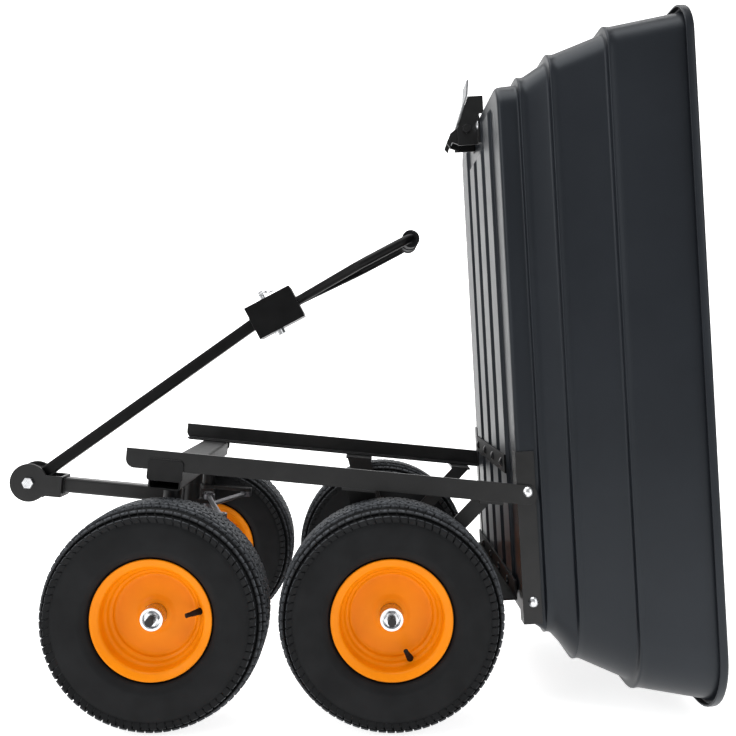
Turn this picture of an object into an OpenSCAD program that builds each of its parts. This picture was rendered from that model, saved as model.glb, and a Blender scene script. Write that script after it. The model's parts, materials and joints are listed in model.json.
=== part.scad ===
// Tipping dump cart: a moulded tub on a four-wheeled steel chassis, drawn with the tub tipped back.
// +X is forward, +Y is left, +Z is up. The origin is on the ground, under the middle of the cart.

/* [Tub] */
// Width of the tub floor, outside
tub_floor_w = 491; // [420:1:520]
// Floor reach ahead of the front axle
tub_overhang = 68; // [60:1:86]
// Floor reach behind the hinge
tub_floor_rear = 198; // [190:1:206]
// Wall thickness
tub_wall = 4.5; // [3:0.5:6]
// Heights at which the four bands of the side end
band_top = [33, 77, 159, 269]; // [30:1:275]
// Outward lean of each band at the sides
side_lean = [0, 13, 20, 11]; // [0:1:30]
// Outward lean of each band at the front
front_lean = [2, 19, 21, 14]; // [0:1:30]
// Outward lean of each band at the rear
rear_lean = [24, 41, 32, 22]; // [0:1:50]
// Plan radius of the rear corners, band by band
rear_corner = [17, 60, 100, 95]; // [12:1:120]
// Plan radius of the front corners
front_corner = 40; // [20:1:60]
// Outward step of the ledge between two bands
ledge = 8; // [5:0.5:10]
// How far the rolled rim stands out
rim_out = 10; // [8:0.5:16]
// Height of the rolled rim
rim_h = 13.5; // [12:0.5:24]
// Thickness of the rolled rim's skirt
rim_skirt = 3.5; // [2.5:0.5:4]
// Width of a floor rib at its root
rib_w = 76; // [60:1:80]
// Spacing of the floor ribs
rib_pitch = 97; // [92:1:100]
// Floor left plain behind the ribs
rib_rear_inset = 20; // [18:1:26]
// Space between the two middle ribs and the latch
rib_front_inset = 16; // [12:1:30]
// Floor left plain ahead of the two outer ribs
rib_tip_inset = 22; // [18:1:40]
// Height of the hinge above the floor's underside
hinge_above_floor = 14; // [13:0.5:16]
// Lean of the tipped floor from vertical, degrees
tub_lean = 3.1; // [1:0.05:4]

/* [Chassis] */
// Height of the tub hinge above the tops of the tyres
hinge_above_tyre = 11; // [9:1:20]
// Nose-up slope of the rails, degrees
rail_slope = 5.4; // [5:0.1:6]
// Height of a rail
rail_h = 30; // [29.6:0.1:34]
// Width of a rail's lower flange
rail_flange = 28; // [20:1:30]
// Thickness of a rail
rail_t = 3; // [2.5:0.1:3]
// Depth of the hinge below the rail's top edge
hinge_below_top = 10; // [9:0.5:10]
// Rail reach ahead of the front axle
rail_overhang = 54; // [48:1:70]
// Rounding of the rail's lower front corner
rail_nose = 14; // [6:1:20]
// Free space between a rail and the tub's side bracket
side_gap = 0.8; // [0.5:0.1:1.5]
// Width of the front cross-member
cross_w = 50; // [46:1:54]
// Height of the front cross-member
cross_h = 30; // [26:1:32]
// Wall of the front cross-member
cross_t = 2.5; // [2:0.5:3]
// Width of the tab that joins the cross-member to a rail
tab_w = 55; // [45:1:60]
// Height of that tab
tab_h = 32; // [28:1:36]
// Thickness of the tabs, uprights and struts
plate_t = 4; // [3:0.5:5]
// Distance from the hinge to the back of the rear tyres
rear_tyre_ahead = 42; // [38:1:60]
// Free space between the front and rear tyres
tyre_gap = 16; // [15:1:30]
// Side of the square rear axle tube
axle_tube = 30; // [26:1:34]
// Free space between a rear upright and its tyre
upright_gap = 10; // [6:0.5:20]
// Width of a rear upright
upright_w = 44; // [36:1:50]
// Upright's top ahead of the rear axle
upright_rake = 47; // [30:1:60]
// Width of a diagonal strut
strut_w = 25; // [20:1:30]
// Strut's top ahead of the hinge
strut_ahead = 54; // [46:1:66]

/* [Wheels] */
// Tyre diameter
tyre_d = 340; // [326:1:350]
// Tyre width
tyre_w = 127; // [115:1:128]
// Distance between the left and right wheel centres
track = 523; // [515:1:540]
// Height of the tyre above the rim's flange
sidewall = 79; // [77:1:82]
// Width of the rim over its flanges
rim_w = 104; // [98:1:106]
// Thickness of the pressed steel rim
rim_t = 3; // [2.5:0.1:3.5]
// Diameter of the axle shaft
axle_d = 16; // [14:0.5:18]
// Diameter of the threaded axle tip
tip_d = 12.6; // [10:0.1:13]
// Diameter of the hub sleeve
hub_d = 34; // [32:0.5:38]
// Number of tread notches on each shoulder
tread_count = 22; // [12:1:26]
// Depth of the tread
tread_depth = 6; // [3:0.5:7]

/* [Steering] */
// Distance of a kingpin ahead of its wheel's axle
kingpin_trail = 11; // [6:1:16]
// Distance of a kingpin inside its tyre's inner face
kingpin_gap = 24; // [22:0.5:34]
// Diameter of the kingpins
kingpin_d = 16; // [14:0.5:18]
// Length of a kingpin tube
kingpin_tube_h = 50; // [44:1:52]
// Length of a knuckle's steering arm
knuckle_arm = 80; // [70:1:90]
// Distance of the tie rods' pin behind the steering pivot
steer_ear = 32; // [30:1:34]
// Thickness of the steering arms and ear
arm_t = 7; // [6:0.5:8]
// Diameter of a tie rod
tie_rod_d = 10; // [8:0.5:11]
// Diameter of the drawbar's steering pivot
steer_pin_d = 14; // [12:0.5:16]
// Diameter of the drawbar's head tube
head_d = 34; // [30:0.5:36]
// Height of the drawbar's head tube
head_h = 50; // [46:1:54]
// Depth of the drawbar's centre below the hinge, square to the rails
drawbar_drop = 98; // [92:0.5:99]
// Side of the drawbar's square tube
drawbar_w = 26; // [22:1:28]
// Wall of the square tubes
tube_t = 2; // [1.5:0.5:3]

/* [Handle] */
// Distance of the drawbar's clevis pin ahead of the front axle, along the rails
clevis_reach = 279; // [270:1:320]
// Radius of the clevis cheeks
cheek_r = 34; // [32:1:38]
// Gap between the clevis cheeks
cheek_gap = 40; // [36:1:44]
// Clevis pin diameter
clevis_pin_d = 12; // [10:0.5:14]
// Side of the pull bar's square tube
pull_bar_w = 21; // [18:0.5:22]
// Pull bar length to the tow socket
pull_bar_len = 491; // [470:1:520]
// Rise of the pull bar above the horizontal as it leans back, degrees
pull_rise = 35.4; // [33:0.1:40]
// Bend between the pull bar and the tow socket, degrees
socket_bend = 7.5; // [0:0.5:9]
// Length of the tow socket
socket_len = 90; // [84:1:100]
// Depth of the tow socket
socket_h = 62; // [54:1:66]
// Width of the tow socket
socket_w = 50; // [46:1:54]
// Wall of the tow socket
socket_t = 4; // [3:0.5:5]
// Hitch pin diameter
hitch_d = 12; // [10:0.5:14]
// Distance from the socket's start to the middle of the grip
grip_reach = 320; // [300:1:340]
// Distance between the handle's two arms
handle_w = 136; // [126:1:150]
// Diameter of the handle's tube
handle_tube_d = 16; // [12:0.5:18]
// Diameter of the rubber grip
grip_d = 31; // [28:0.5:34]

/* [Tub fittings] */
// Thickness of the tub's side brackets
bracket_t = 2.5; // [2:0.1:2.6]
// Width of the brackets' flanges
bracket_w = 29; // [26:1:30]
// Bracket reach behind the hinge
bracket_rear = 205; // [190:1:210]
// Bracket reach ahead of the hinge
bracket_front = 62; // [40:1:70]
// Second bracket bolt behind the hinge
bracket_bolt = 171; // [150:1:180]
// Diameter of the bolts
bolt_d = 8; // [6:0.5:9]
// Width of the cross bars under the floor
strap_w = 30; // [24:1:34]
// Thickness of the cross bars
strap_t = 3; // [2.5:0.5:4]
// Half the length of the flat cross bar
strap_half = 174; // [150:1:176]
// Flat cross bar ahead of the hinge
strap_front = 35; // [30:1:44]
// Half the length of the angle cross bar
angle_half = 216; // [190:1:217]
// Angle cross bar's middle ahead of the ribs' rear ends
angle_inset = 18; // [16:1:24]

/* [Latch] */
// Latch pivot behind the tub's front edge
latch_inset = 19; // [16:1:20]
// Latch pivot below the hinge
latch_z = 36; // [34:0.5:38]
// Distance between the latch bracket's cheeks, inside
latch_gap = 54; // [50:1:58]
// Thickness of the latch plates
latch_t = 3; // [2.5:0.5:3.5]
// Turn of the lever from open to hooked, degrees
latch_swing = 22; // [21:1:28]
// Wire diameter of the latch spring
spring_wire = 2.4; // [2:0.1:2.6]
// Free space between the latch spring and its bolt
spring_play = 0.5; // [0.3:0.1:0.8]
// Number of curls in the latch spring
spring_curls = 5; // [3:1:6]
// Free space between two curls
spring_gap = 0.9; // [0.6:0.1:1.2]

/* [Clearances] */
// Radial clearance of a running fit
fit = 0.08; // [0.05:0.01:0.1]
// Clearance between pieces that pass each other
clear = 0.3; // [0.3:0.05:0.5]
// Radial clearance of a tie rod's outer eye, which takes up the linkage's small error
eye_play = 2.4; // [2.4:0.1:3]

/* [Hidden] */
$fn = 48;

black_steel = "#1b1c1e";
black_poly = "#24262b";
rubber = "#161718";
orange = "#e8820e";
zinc = "#c3c7cb";

// Places that follow from the sizes above: "ahead" is measured forward from the hinge
wheelbase = tyre_d + tyre_gap;
rear_axle_ahead = tyre_d / 2 + rear_tyre_ahead;
front_axle_ahead = rear_axle_ahead + wheelbase;
hinge_z = tyre_d + hinge_above_tyre;
rail_reach = front_axle_ahead + rail_overhang;
clevis_ahead = front_axle_ahead + clevis_reach;
tub_floor_front = front_axle_ahead + tub_overhang;
latch_x = tub_floor_front - latch_inset;
rib_rear = tub_floor_rear - rib_rear_inset;
angle_x = angle_inset - rib_rear;
wheel_y = track / 2;
rim_d = tyre_d - 2 * sidewall;
kingpin_y = wheel_y - tyre_w / 2 - kingpin_gap;
upright_y = wheel_y - tyre_w / 2 - upright_gap;

// Tub levels, from the floor up: each band has a lower and an upper ring
bands = len(band_top);
function sum_to(list, n) = n < 0 ? 0 : list[n] + sum_to(list, n - 1);
function band_low(i) = i == 0 ? 0 : band_top[i - 1];
function reach(start, lean, i, top) = start + sum_to(lean, i - 1) + i * ledge + (top ? lean[i] : 0);
half_floor = tub_floor_w / 2;
tub_h = band_top[bands - 1] + rim_h;
corner_steps = 6;
function arc(cx, cy, r, from) = [for (k = [0 : corner_steps])
    let (a = from + 90 * k / corner_steps) [cx + r * cos(a), cy + r * sin(a)]];
function tub_plan(w, f, b, rf, rb) = concat(
    arc(f - rf, w - rf, rf, 0), arc(rb - b, w - rb, rb, 90),
    arc(rb - b, rb - w, rb, 180), arc(f - rf, rf - w, rf, 270));
function tub_level(i, top, h, out) = [for (p = tub_plan(
    reach(half_floor, side_lean, i, top) + out, reach(tub_floor_front, front_lean, i, top) + out,
    reach(tub_floor_rear, rear_lean, i, top) + out, front_corner + out, rear_corner[i] + out))
    [p.x, p.y, h - hinge_above_floor]];
rim_edge = rim_h / 6;
tub_outer = [for (i = [0 : bands - 1], top = [false, true])
    tub_level(i, top, top ? band_top[i] : band_low(i), 0)];
tub_rim = [
    tub_level(bands - 1, true, tub_h - tub_wall, 0),
    tub_level(bands - 1, true, tub_h - tub_wall, rim_out - rim_skirt),
    tub_level(bands - 1, true, tub_h - rim_h, rim_out - rim_skirt),
    tub_level(bands - 1, true, tub_h - rim_h, rim_out),
    tub_level(bands - 1, true, tub_h - rim_edge, rim_out),
    tub_level(bands - 1, true, tub_h, rim_out - rim_edge),
    tub_level(bands - 1, true, tub_h, -tub_wall / 2),
    tub_level(bands - 1, true, tub_h - tub_wall / 2, -tub_wall)];
tub_inner = [for (i = [bands - 1 : -1 : 0], top = [true, false])
    tub_level(i, top, (top ? band_top[i] : band_low(i)) + tub_wall, -tub_wall)];
tub_rings = concat(tub_outer, tub_rim, tub_inner);

// Places along the rails, from the hinge: x runs forward and z is square to the rails
rail_top = hinge_below_top;
rail_bottom = rail_top - rail_h;
bracket_face = half_floor + bracket_t;
rail_in = bracket_face + side_gap;
rail_out = rail_in + rail_t;
floor_z = -hinge_above_floor;
rib_bottom = rail_bottom + clear;
bracket_low = floor_z - bracket_t;
tip_travel = 90 - rail_slope - tub_lean;
rail_stop = (clear - bracket_low + (rail_bottom + rail_t) * cos(tip_travel)) / sin(tip_travel);
axle_z = tyre_d / 2;
axle_drop = axle_z - hinge_z;
function rail_x(ahead, up) = ahead * cos(rail_slope) + up * sin(rail_slope);
function rail_z(ahead, up) = up * cos(rail_slope) - ahead * sin(rail_slope);
function world_x(x, z) = x * cos(rail_slope) - z * sin(rail_slope);
function world_z(x, z) = x * sin(rail_slope) + z * cos(rail_slope);
spindle_x = rail_x(front_axle_ahead, axle_drop);
spindle_z = rail_z(front_axle_ahead, axle_drop);
kingpin_x = spindle_x + kingpin_trail;
cross_bottom = rail_bottom - cross_h;
tube_bottom = cross_bottom - kingpin_tube_h;
arm_top = tube_bottom - clear;
arm_low = arm_top - arm_t;
drawbar_z = -drawbar_drop;
head_top = drawbar_z + head_h / 2;
head_bottom = drawbar_z - head_h / 2;
eye_r = 11;
eye_h = 9;
tie_pin_d = 10;
pin_cap = 3;
tie_x = knuckle_arm - steer_ear;
tie_len = sqrt(tie_x * tie_x + kingpin_y * kingpin_y);
tie_turn = atan2(tie_x, kingpin_y);
nut_h = 8;
washer_t = 2;

// Whole cart: the origin lies midway between the clevis in front and the tub's rim behind
function tipped_back(p) = p.z * cos(tub_lean) - p.x * sin(tub_lean);
tub_back = max([for (ring = tub_rim, p = ring) tipped_back(p)]);
clevis_front = world_x(clevis_ahead, drawbar_z) + cheek_r;
hinge_x = (tub_back - clevis_front) / 2;
rear_axle_x = hinge_x + rear_axle_ahead;
front_axle_x = hinge_x + front_axle_ahead;

// Wheel, measured along its own axle from its middle plane, outward positive
rim_half = rim_w / 2;
rim_r = rim_d / 2;
seat_r = rim_r - 11;
well_r = rim_r - 24;
lip = 4;
disc_y = 14;
hub_r = hub_d / 2;
hub_in = 40;
hub_out = 46;
hub_recess = 10;
recess_r = 13.5;
tip_reach = 61;
nut_y = hub_out - hub_recess + clear;
shaft_end = nut_y - clear / 2;
valve_r = 4.5;
valve_len = 26;
valve_turns = [186, 114, 40, 130];

// Frames in which the pieces are drawn
module rail_frame() { translate([hinge_x, 0, hinge_z]) rotate([0, -rail_slope, 0]) children(); }
module tub_frame() { translate([hinge_x, 0, hinge_z]) rotate([0, tub_lean - 90, 0]) children(); }
module pull_frame() {
    rail_frame() translate([clevis_ahead, 0, drawbar_z])
        rotate([0, rail_slope + pull_rise - 180, 0]) children();
}
module socket_frame() {
    pull_frame() translate([pull_bar_len, 0, 0]) rotate([0, -socket_bend, 0]) children();
}
module wheel_frame(x, side) {
    translate([x, side * wheel_y, axle_z]) rotate([-90 * side, 0, 0]) children();
}
module right_of(left_side) { mirror([0, left_side ? 0 : 1, 0]) children(); }

// Shapes that repeat
module pin_y(r, from, to) { translate([0, from, 0]) rotate([-90, 0, 0]) cylinder(r = r, h = to - from); }
module hex_y(r, from, to) {
    translate([0, from, 0]) rotate([-90, 0, 0]) cylinder(r = r, h = to - from, $fn = 6);
}
module side_plate(from, to) {
    translate([0, to, 0]) rotate([90, 0, 0]) linear_extrude(to - from) children();
}
// Round bar bent in the XY plane: each step is a straight run along X, a turn and the turn's radius.
// A bend is drawn a little thinner than the bar and runs a short way into the straights beside it.
module bent_bar(steps, r, i = 0) {
    if (i < len(steps)) {
        run = steps[i][0];
        turn = steps[i][1];
        bend = steps[i][2];
        side = turn < 0 ? -1 : 1;
        thinned = 0.15;
        lap = turn == 0 ? 0 : atan(1 / bend);
        rotate([0, 90, 0]) cylinder(r = r, h = run);
        translate([run, 0, 0]) {
            if (turn != 0)
                translate([0, side * bend, 0]) rotate([0, 0, turn < 0 ? 90 + turn - lap : -90 - lap])
                    rotate_extrude(angle = abs(turn) + 2 * lap) translate([bend, 0]) circle(r - thinned);
            translate([bend * sin(abs(turn)), side * bend * (1 - cos(turn)), 0]) rotate([0, 0, turn])
                bent_bar(steps, r, i + 1);
        }
    }
}
module rounded_square(w, h, r) {
    square([w - 2 * r, h], center = true);
    square([w, h - 2 * r], center = true);
    for (x = [-1, 1], y = [-1, 1])
        translate([x * (w / 2 - r), y * (h / 2 - r)]) circle(r);
}
// Square or oblong tube along X
module box_tube(w, h, t, from, to) {
    translate([from, 0, 0]) rotate([90, 0, 90]) linear_extrude(to - from) difference() {
        rounded_square(w, h, 2 * t);
        rounded_square(w - 2 * t, h - 2 * t, t);
    }
}
// Domed bolt along Z: its head is below 0 and its nut stands on top of the grip
module carriage_bolt(grip) {
    head_h = 0.55 * bolt_d;
    head_r = bolt_d;
    intersection() {
        translate([0, 0, -head_h]) cylinder(r = head_r, h = head_h);
        translate([0, 0, head_r - head_h + 0.3 * head_r]) sphere(1.3 * head_r);
    }
    cylinder(d = bolt_d, h = grip + 1.3 * bolt_d);
    translate([0, 0, grip]) cylinder(r = 1.05 * bolt_d, h = washer_t);
    translate([0, 0, grip + washer_t]) cylinder(r = 0.92 * bolt_d, h = 0.8 * bolt_d, $fn = 6);
}
module bolt_hole_z(x, y) { translate([x, y, -tub_h]) cylinder(d = bolt_d + 2 * fit, h = 2 * tub_h); }

// Tub
strap_bolt_y = [for (k = [-1.5, -0.5, 0.5, 1.5]) k * rib_pitch];
module ribs(w, z_top, z_low, draft, end_wall) {
    for (y = strap_bolt_y) {
        rib_front = abs(y) > rib_pitch ? tub_floor_front - rib_tip_inset : latch_back - rib_front_inset;
        translate([end_wall - rib_rear, y, 0]) rotate([90, 0, 90])
            linear_extrude(rib_rear + rib_front - 2 * end_wall)
                polygon([[-w / 2, z_top], [draft - w / 2, z_low], [w / 2 - draft, z_low], [w / 2, z_top]]);
    }
}
module tub_shell() {
    n = len(tub_rings[0]);
    last = len(tub_rings) - 1;
    polyhedron(
        points = [for (ring = tub_rings, p = ring) p],
        faces = concat(
            [[for (j = [0 : n - 1]) j]],
            [for (i = [0 : last - 1], j = [0 : n - 1], half = [0, 1])
                let (a = i * n + j, b = i * n + (j + 1) % n)
                half == 0 ? [a, a + n, b + n] : [a, b + n, b]],
            [[for (j = [n - 1 : -1 : 0]) last * n + j]]));
}
module tub() {
    rib_draft = 5;
    sunk = 2;
    color(black_poly) tub_frame() difference() {
        union() {
            tub_shell();
            ribs(rib_w, floor_z + sunk, rib_bottom, rib_draft, 0);
        }
        ribs(rib_w - 2 * tub_wall - 2, floor_z + tub_wall + sunk, rib_bottom + tub_wall, rib_draft,
            tub_wall);
        for (x = [0, -bracket_bolt])
            translate([x, 0, 0]) pin_y(bolt_d / 2 + fit, -half_floor - 1, half_floor + 1);
        for (x = [strap_front, angle_x], y = strap_bolt_y)
            bolt_hole_z(x, y);
        for (y = [-1, 1])
            bolt_hole_z(latch_base_x, y * latch_base_y);
    }
}

// Tub fittings
module tub_bracket(left) {
    color(black_steel) tub_frame() right_of(left) difference() {
        union() {
            translate([-bracket_rear, half_floor, bracket_low])
                cube([bracket_rear + bracket_front, bracket_t, bracket_w]);
            translate([-bracket_rear, bracket_face - bracket_w, bracket_low])
                cube([bracket_rear + bracket_front, bracket_w, bracket_t]);
        }
        for (x = [0, -bracket_bolt])
            translate([x, 0, 0]) pin_y(bolt_d / 2 + fit, half_floor - 1, bracket_face + 1);
    }
}
module tub_bracket_left() { tub_bracket(true); }
module tub_bracket_right() { tub_bracket(false); }
module cross_bar(x, half) {
    difference() {
        translate([x - strap_w / 2, -half, rib_bottom - strap_t])
            cube([strap_w, 2 * half, strap_t]);
        for (y = strap_bolt_y)
            bolt_hole_z(x, y);
    }
}
module tub_cross_strap() { color(black_steel) tub_frame() cross_bar(strap_front, strap_half); }
module tub_cross_angle() {
    color(black_steel) tub_frame() union() {
        cross_bar(angle_x, angle_half);
        translate([angle_x - strap_w / 2, -angle_half, rib_bottom - strap_w])
            cube([strap_t, 2 * angle_half, strap_w]);
    }
}
module side_bolt(x, head_y) {
    translate([x, head_y, 0]) rotate([90, 0, 0]) carriage_bolt(head_y - half_floor + tub_wall);
}
module tub_bolts() {
    color(zinc) tub_frame() {
        for (left = [true, false])
            right_of(left) side_bolt(-bracket_bolt, bracket_face);
        for (x = [strap_front, angle_x], y = strap_bolt_y)
            translate([x, y, rib_bottom - strap_t]) carriage_bolt(strap_t + tub_wall);
        for (y = [-1, 1])
            translate([latch_base_x, y * latch_base_y, floor_z - latch_t])
                carriage_bolt(latch_t + tub_wall);
    }
}
module hinge_bolts() {
    color(zinc) tub_frame()
        for (left = [true, false])
            right_of(left) side_bolt(0, rail_out + clear);
}

// Latch under the tub's front edge: its lever hooks under the front cross-member
latch_in = latch_gap / 2;
latch_back = kingpin_x + cross_w / 2 + 4;
latch_base_x = tub_floor_front - 16;
latch_base_y = latch_in + latch_t + 9;
latch_flange = 18;
latch_bolt_d = 8;
latch_nose = tub_floor_front + 39;
cheek_drop = 16;
nose_rise = 5;
lever_t = 4;
lever_in = latch_in - lever_t - 2;
hook_drop = -cross_bottom + 2.5;
hook_depth = 8;
hook_reach = 10;
module latch_bracket() {
    color(black_steel) tub_frame() difference() {
        union() {
            for (side = [-1, 1]) {
                side_plate(side * (latch_in + latch_t / 2) - latch_t / 2,
                        side * (latch_in + latch_t / 2) + latch_t / 2)
                    polygon([[latch_back, floor_z], [latch_back, -latch_z - cheek_drop],
                        [latch_x, -latch_z - cheek_drop], [latch_nose, nose_rise - latch_z],
                        [latch_nose, floor_z + 10],
                        [tub_floor_front + 8, floor_z + 10], [tub_floor_front + 8, floor_z]]);
                translate([latch_back, side * (latch_in + latch_flange / 2) - latch_flange / 2,
                        floor_z - latch_t])
                    cube([tub_floor_front - latch_back, latch_flange, latch_t]);
            }
            translate([tub_floor_front + 8, -latch_in, floor_z])
                cube([latch_nose - tub_floor_front - 8, 2 * latch_in, latch_t]);
        }
        translate([latch_x, 0, -latch_z])
            pin_y(latch_bolt_d / 2 + fit, -latch_in - latch_t - 1, latch_in + latch_t + 1);
        for (y = [-1, 1])
            bolt_hole_z(latch_base_x, y * latch_base_y);
    }
}
module latch_bolt() {
    color(black_steel) tub_frame() translate([latch_x, 0, -latch_z]) {
        pin_y(latch_bolt_d / 2, -latch_in - latch_t - nut_h, latch_in + latch_t);
        hex_y(latch_bolt_d, latch_in + latch_t, latch_in + latch_t + 5.5);
        hex_y(latch_bolt_d, -latch_in - latch_t - 6.5, -latch_in - latch_t);
    }
}
// The hook is laid out as it holds, about the pivot, then swung open
hook_x = latch_back - 1 - latch_x;
hook_z = latch_z - hook_drop;
module latch_lever() {
    color(black_steel) tub_frame() translate([latch_x, 0, -latch_z]) difference() {
        for (side = [-1, 1])
            side_plate(side * (lever_in + lever_t / 2) - lever_t / 2,
                    side * (lever_in + lever_t / 2) + lever_t / 2) rotate(latch_swing) union() {
                circle(12);
                polygon([[0, 11], [hook_x, 0], [hook_x, hook_z], [hook_x - hook_reach, hook_z],
                    [hook_x - hook_reach + 5, hook_z - hook_depth], [hook_x + 14, hook_z - hook_depth],
                    [8, -9]]);
            }
        pin_y(latch_bolt_d / 2 + fit, -lever_in - lever_t - 1, lever_in + lever_t + 1);
    }
}
// The strap lies just clear of the cheeks' slanting edge and hangs on two ears inside the lever.
// It is wide ahead of the pivot, and behind that only as wide as the space between the lever's plates.
handle_t = 3;
function strap_z(x) = x * (cheek_drop + nose_rise) / (latch_nose - latch_x) - cheek_drop - 2 * clear;
module latch_handle() {
    handle_half = latch_in + latch_t + 2;
    tail_half = lever_in - clear / 2;
    handle_back = -19;
    wide_from = 12;
    handle_bend = latch_nose - latch_x + 2;
    handle_tip = [handle_bend + 27, strap_z(handle_bend) + 3];
    ear = 9;
    ear_in = 12;
    color(zinc) tub_frame() translate([latch_x, 0, -latch_z]) {
        side_plate(-handle_half, handle_half)
            polygon([[wide_from, strap_z(wide_from)], [wide_from, strap_z(wide_from) - handle_t],
                [handle_bend, strap_z(handle_bend) - handle_t], [handle_tip.x, handle_tip.y - handle_t],
                handle_tip, [handle_bend, strap_z(handle_bend)]]);
        side_plate(-tail_half, tail_half)
            polygon([[handle_back, strap_z(handle_back)], [handle_back, strap_z(handle_back) - handle_t],
                [wide_from + 1, strap_z(wide_from + 1) - handle_t], [wide_from + 1, strap_z(wide_from + 1)]]);
        for (left = [true, false])
            right_of(left) side_plate(ear_in, tail_half)
                polygon([[-ear, strap_z(-ear) - 1], [ear, strap_z(ear) - 1], [ear, -ear], [-ear, -ear]]);
    }
}
// Torsion spring: one tube that runs in along a leg, round the bolt and out along the other leg
spring_rings = 8;
spring_sides = 6;
spring_pitch = spring_wire + spring_gap;
spring_half = spring_curls * spring_pitch / 2;
spring_r = latch_bolt_d / 2 + spring_play + spring_wire / 2;
leg_low = -strap_z(spring_r + spring_wire / 2) - clear;
leg_up = latch_z - hinge_above_floor - spring_play;
spring_path = concat(
    [[spring_r, -spring_half, -leg_low], [spring_r, -spring_half, -leg_low / 2]],
    [for (k = [0 : spring_curls * spring_rings])
        let (a = 360 * k / spring_rings)
        [spring_r * cos(a), -spring_half + spring_pitch * k / spring_rings, spring_r * sin(a)]],
    [[spring_r, spring_half, leg_up / 2], [spring_r, spring_half, leg_up]]);
function unit(v) = v / norm(v);
function path_way(path, i) = unit(path[min(i + 1, len(path) - 1)] - path[max(i - 1, 0)]);
function ring_at(path, i, r) =
    let (t = path_way(path, i), u = unit(cross(t, [0.2, 1, 0.1])), v = cross(t, u))
    [for (k = [0 : spring_sides - 1])
        path[i] + r * (cos(360 * k / spring_sides) * u + sin(360 * k / spring_sides) * v)];
spring_self_gap = min([for (i = [0 : len(spring_path) - 1], j = [i + 6 : 1 : len(spring_path) - 1])
    norm(spring_path[i] - spring_path[j]) - spring_wire]);
echo(latch_spring_least_gap_to_itself = spring_self_gap);
module latch_spring() {
    n = spring_sides;
    last = len(spring_path) - 1;
    color(zinc) tub_frame() translate([latch_x, 0, -latch_z])
        polyhedron(
            points = [for (i = [0 : last]) each ring_at(spring_path, i, spring_wire / 2)],
            faces = concat(
                [for (k = [1 : n - 2]) [0, k + 1, k]],
                [for (i = [0 : last - 1], k = [0 : n - 1], half = [0, 1])
                    let (a = i * n + k, b = i * n + (k + 1) % n)
                    half == 0 ? [a, b + n, a + n] : [a, b, b + n]],
                [for (k = [1 : n - 2]) [last * n, last * n + k, last * n + k + 1]]));
}

// Chassis
module rail(left) {
    rear_r = rail_h / 2;
    color(black_steel) rail_frame() right_of(left) difference() {
        intersection() {
            translate([-rear_r, 0, 0]) rotate([90, 0, 90]) linear_extrude(rear_r + rail_reach)
                polygon([[rail_out, rail_bottom], [rail_out, rail_top], [rail_in, rail_top],
                    [rail_in, rail_bottom + rail_t], [rail_out - rail_flange, rail_bottom + rail_t],
                    [rail_out - rail_flange, rail_bottom]]);
            side_plate(rail_out - rail_flange - 1, rail_out + 1) {
                translate([0, rail_bottom + rear_r]) circle(rear_r);
                translate([0, rail_bottom]) square([rail_reach - rail_nose, rail_h]);
                translate([0, rail_bottom + rail_nose]) square([rail_reach, rail_h - rail_nose]);
                translate([rail_reach - rail_nose, rail_bottom + rail_nose]) circle(rail_nose);
            }
        }
        translate([-2 * rail_h, rail_in - rail_flange, rail_bottom - 1])
            cube([2 * rail_h + rail_stop, rail_flange, rail_h]);
        pin_y(bolt_d / 2 + fit, rail_in - 1, rail_out + 1);
    }
}
module rail_left() { rail(true); }
module rail_right() { rail(false); }
module front_cross_member() {
    tab_top = rail_bottom + tab_h / 2;
    corner = 5;
    color(black_steel) rail_frame() translate([kingpin_x, 0, 0]) {
        translate([0, 0, rail_bottom - cross_h / 2]) rotate([0, 0, 90])
            box_tube(cross_w, cross_h, cross_t, -rail_out, rail_out);
        for (side = [-1, 1])
            translate([0, 0, tab_top - tab_h / 2])
                side_plate(side * (rail_out + plate_t / 2) - plate_t / 2,
                        side * (rail_out + plate_t / 2) + plate_t / 2)
                    rounded_square(tab_w, tab_h, corner);
    }
}
module kingpin_tubes() {
    color(black_steel) rail_frame()
        for (side = [-1, 1])
            translate([kingpin_x, side * kingpin_y, tube_bottom]) difference() {
                cylinder(d = kingpin_d + 14, h = kingpin_tube_h);
                translate([0, 0, -1]) cylinder(d = kingpin_d + 2 * fit, h = kingpin_tube_h + 2);
            }
}
module steering_kingpin() {
    collar_d = steer_pin_d + 26;
    color(black_steel) rail_frame() translate([kingpin_x, 0, 0]) {
        translate([0, 0, head_top + clear]) cylinder(d = collar_d, h = cross_bottom - head_top - clear);
        translate([0, 0, head_bottom - nut_h - 2 * washer_t - 4])
            cylinder(d = steer_pin_d, h = cross_bottom - head_bottom + nut_h + 2 * washer_t + 4);
    }
}
module rear_axle_tube() {
    tube_half = wheel_y - hub_in - clear;
    color(black_steel) translate([rear_axle_x, 0, axle_z]) difference() {
        translate([-axle_tube / 2, -tube_half, -axle_tube / 2])
            cube([axle_tube, 2 * tube_half, axle_tube]);
        pin_y(axle_d / 2 + fit, -tube_half - 1, tube_half + 1);
    }
}
module rear_axle_shaft() {
    color(black_steel) translate([rear_axle_x, 0, axle_z]) {
        pin_y(axle_d / 2, -wheel_y - shaft_end, wheel_y + shaft_end);
        pin_y(tip_d / 2, -wheel_y - tip_reach, wheel_y + tip_reach);
    }
}
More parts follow.
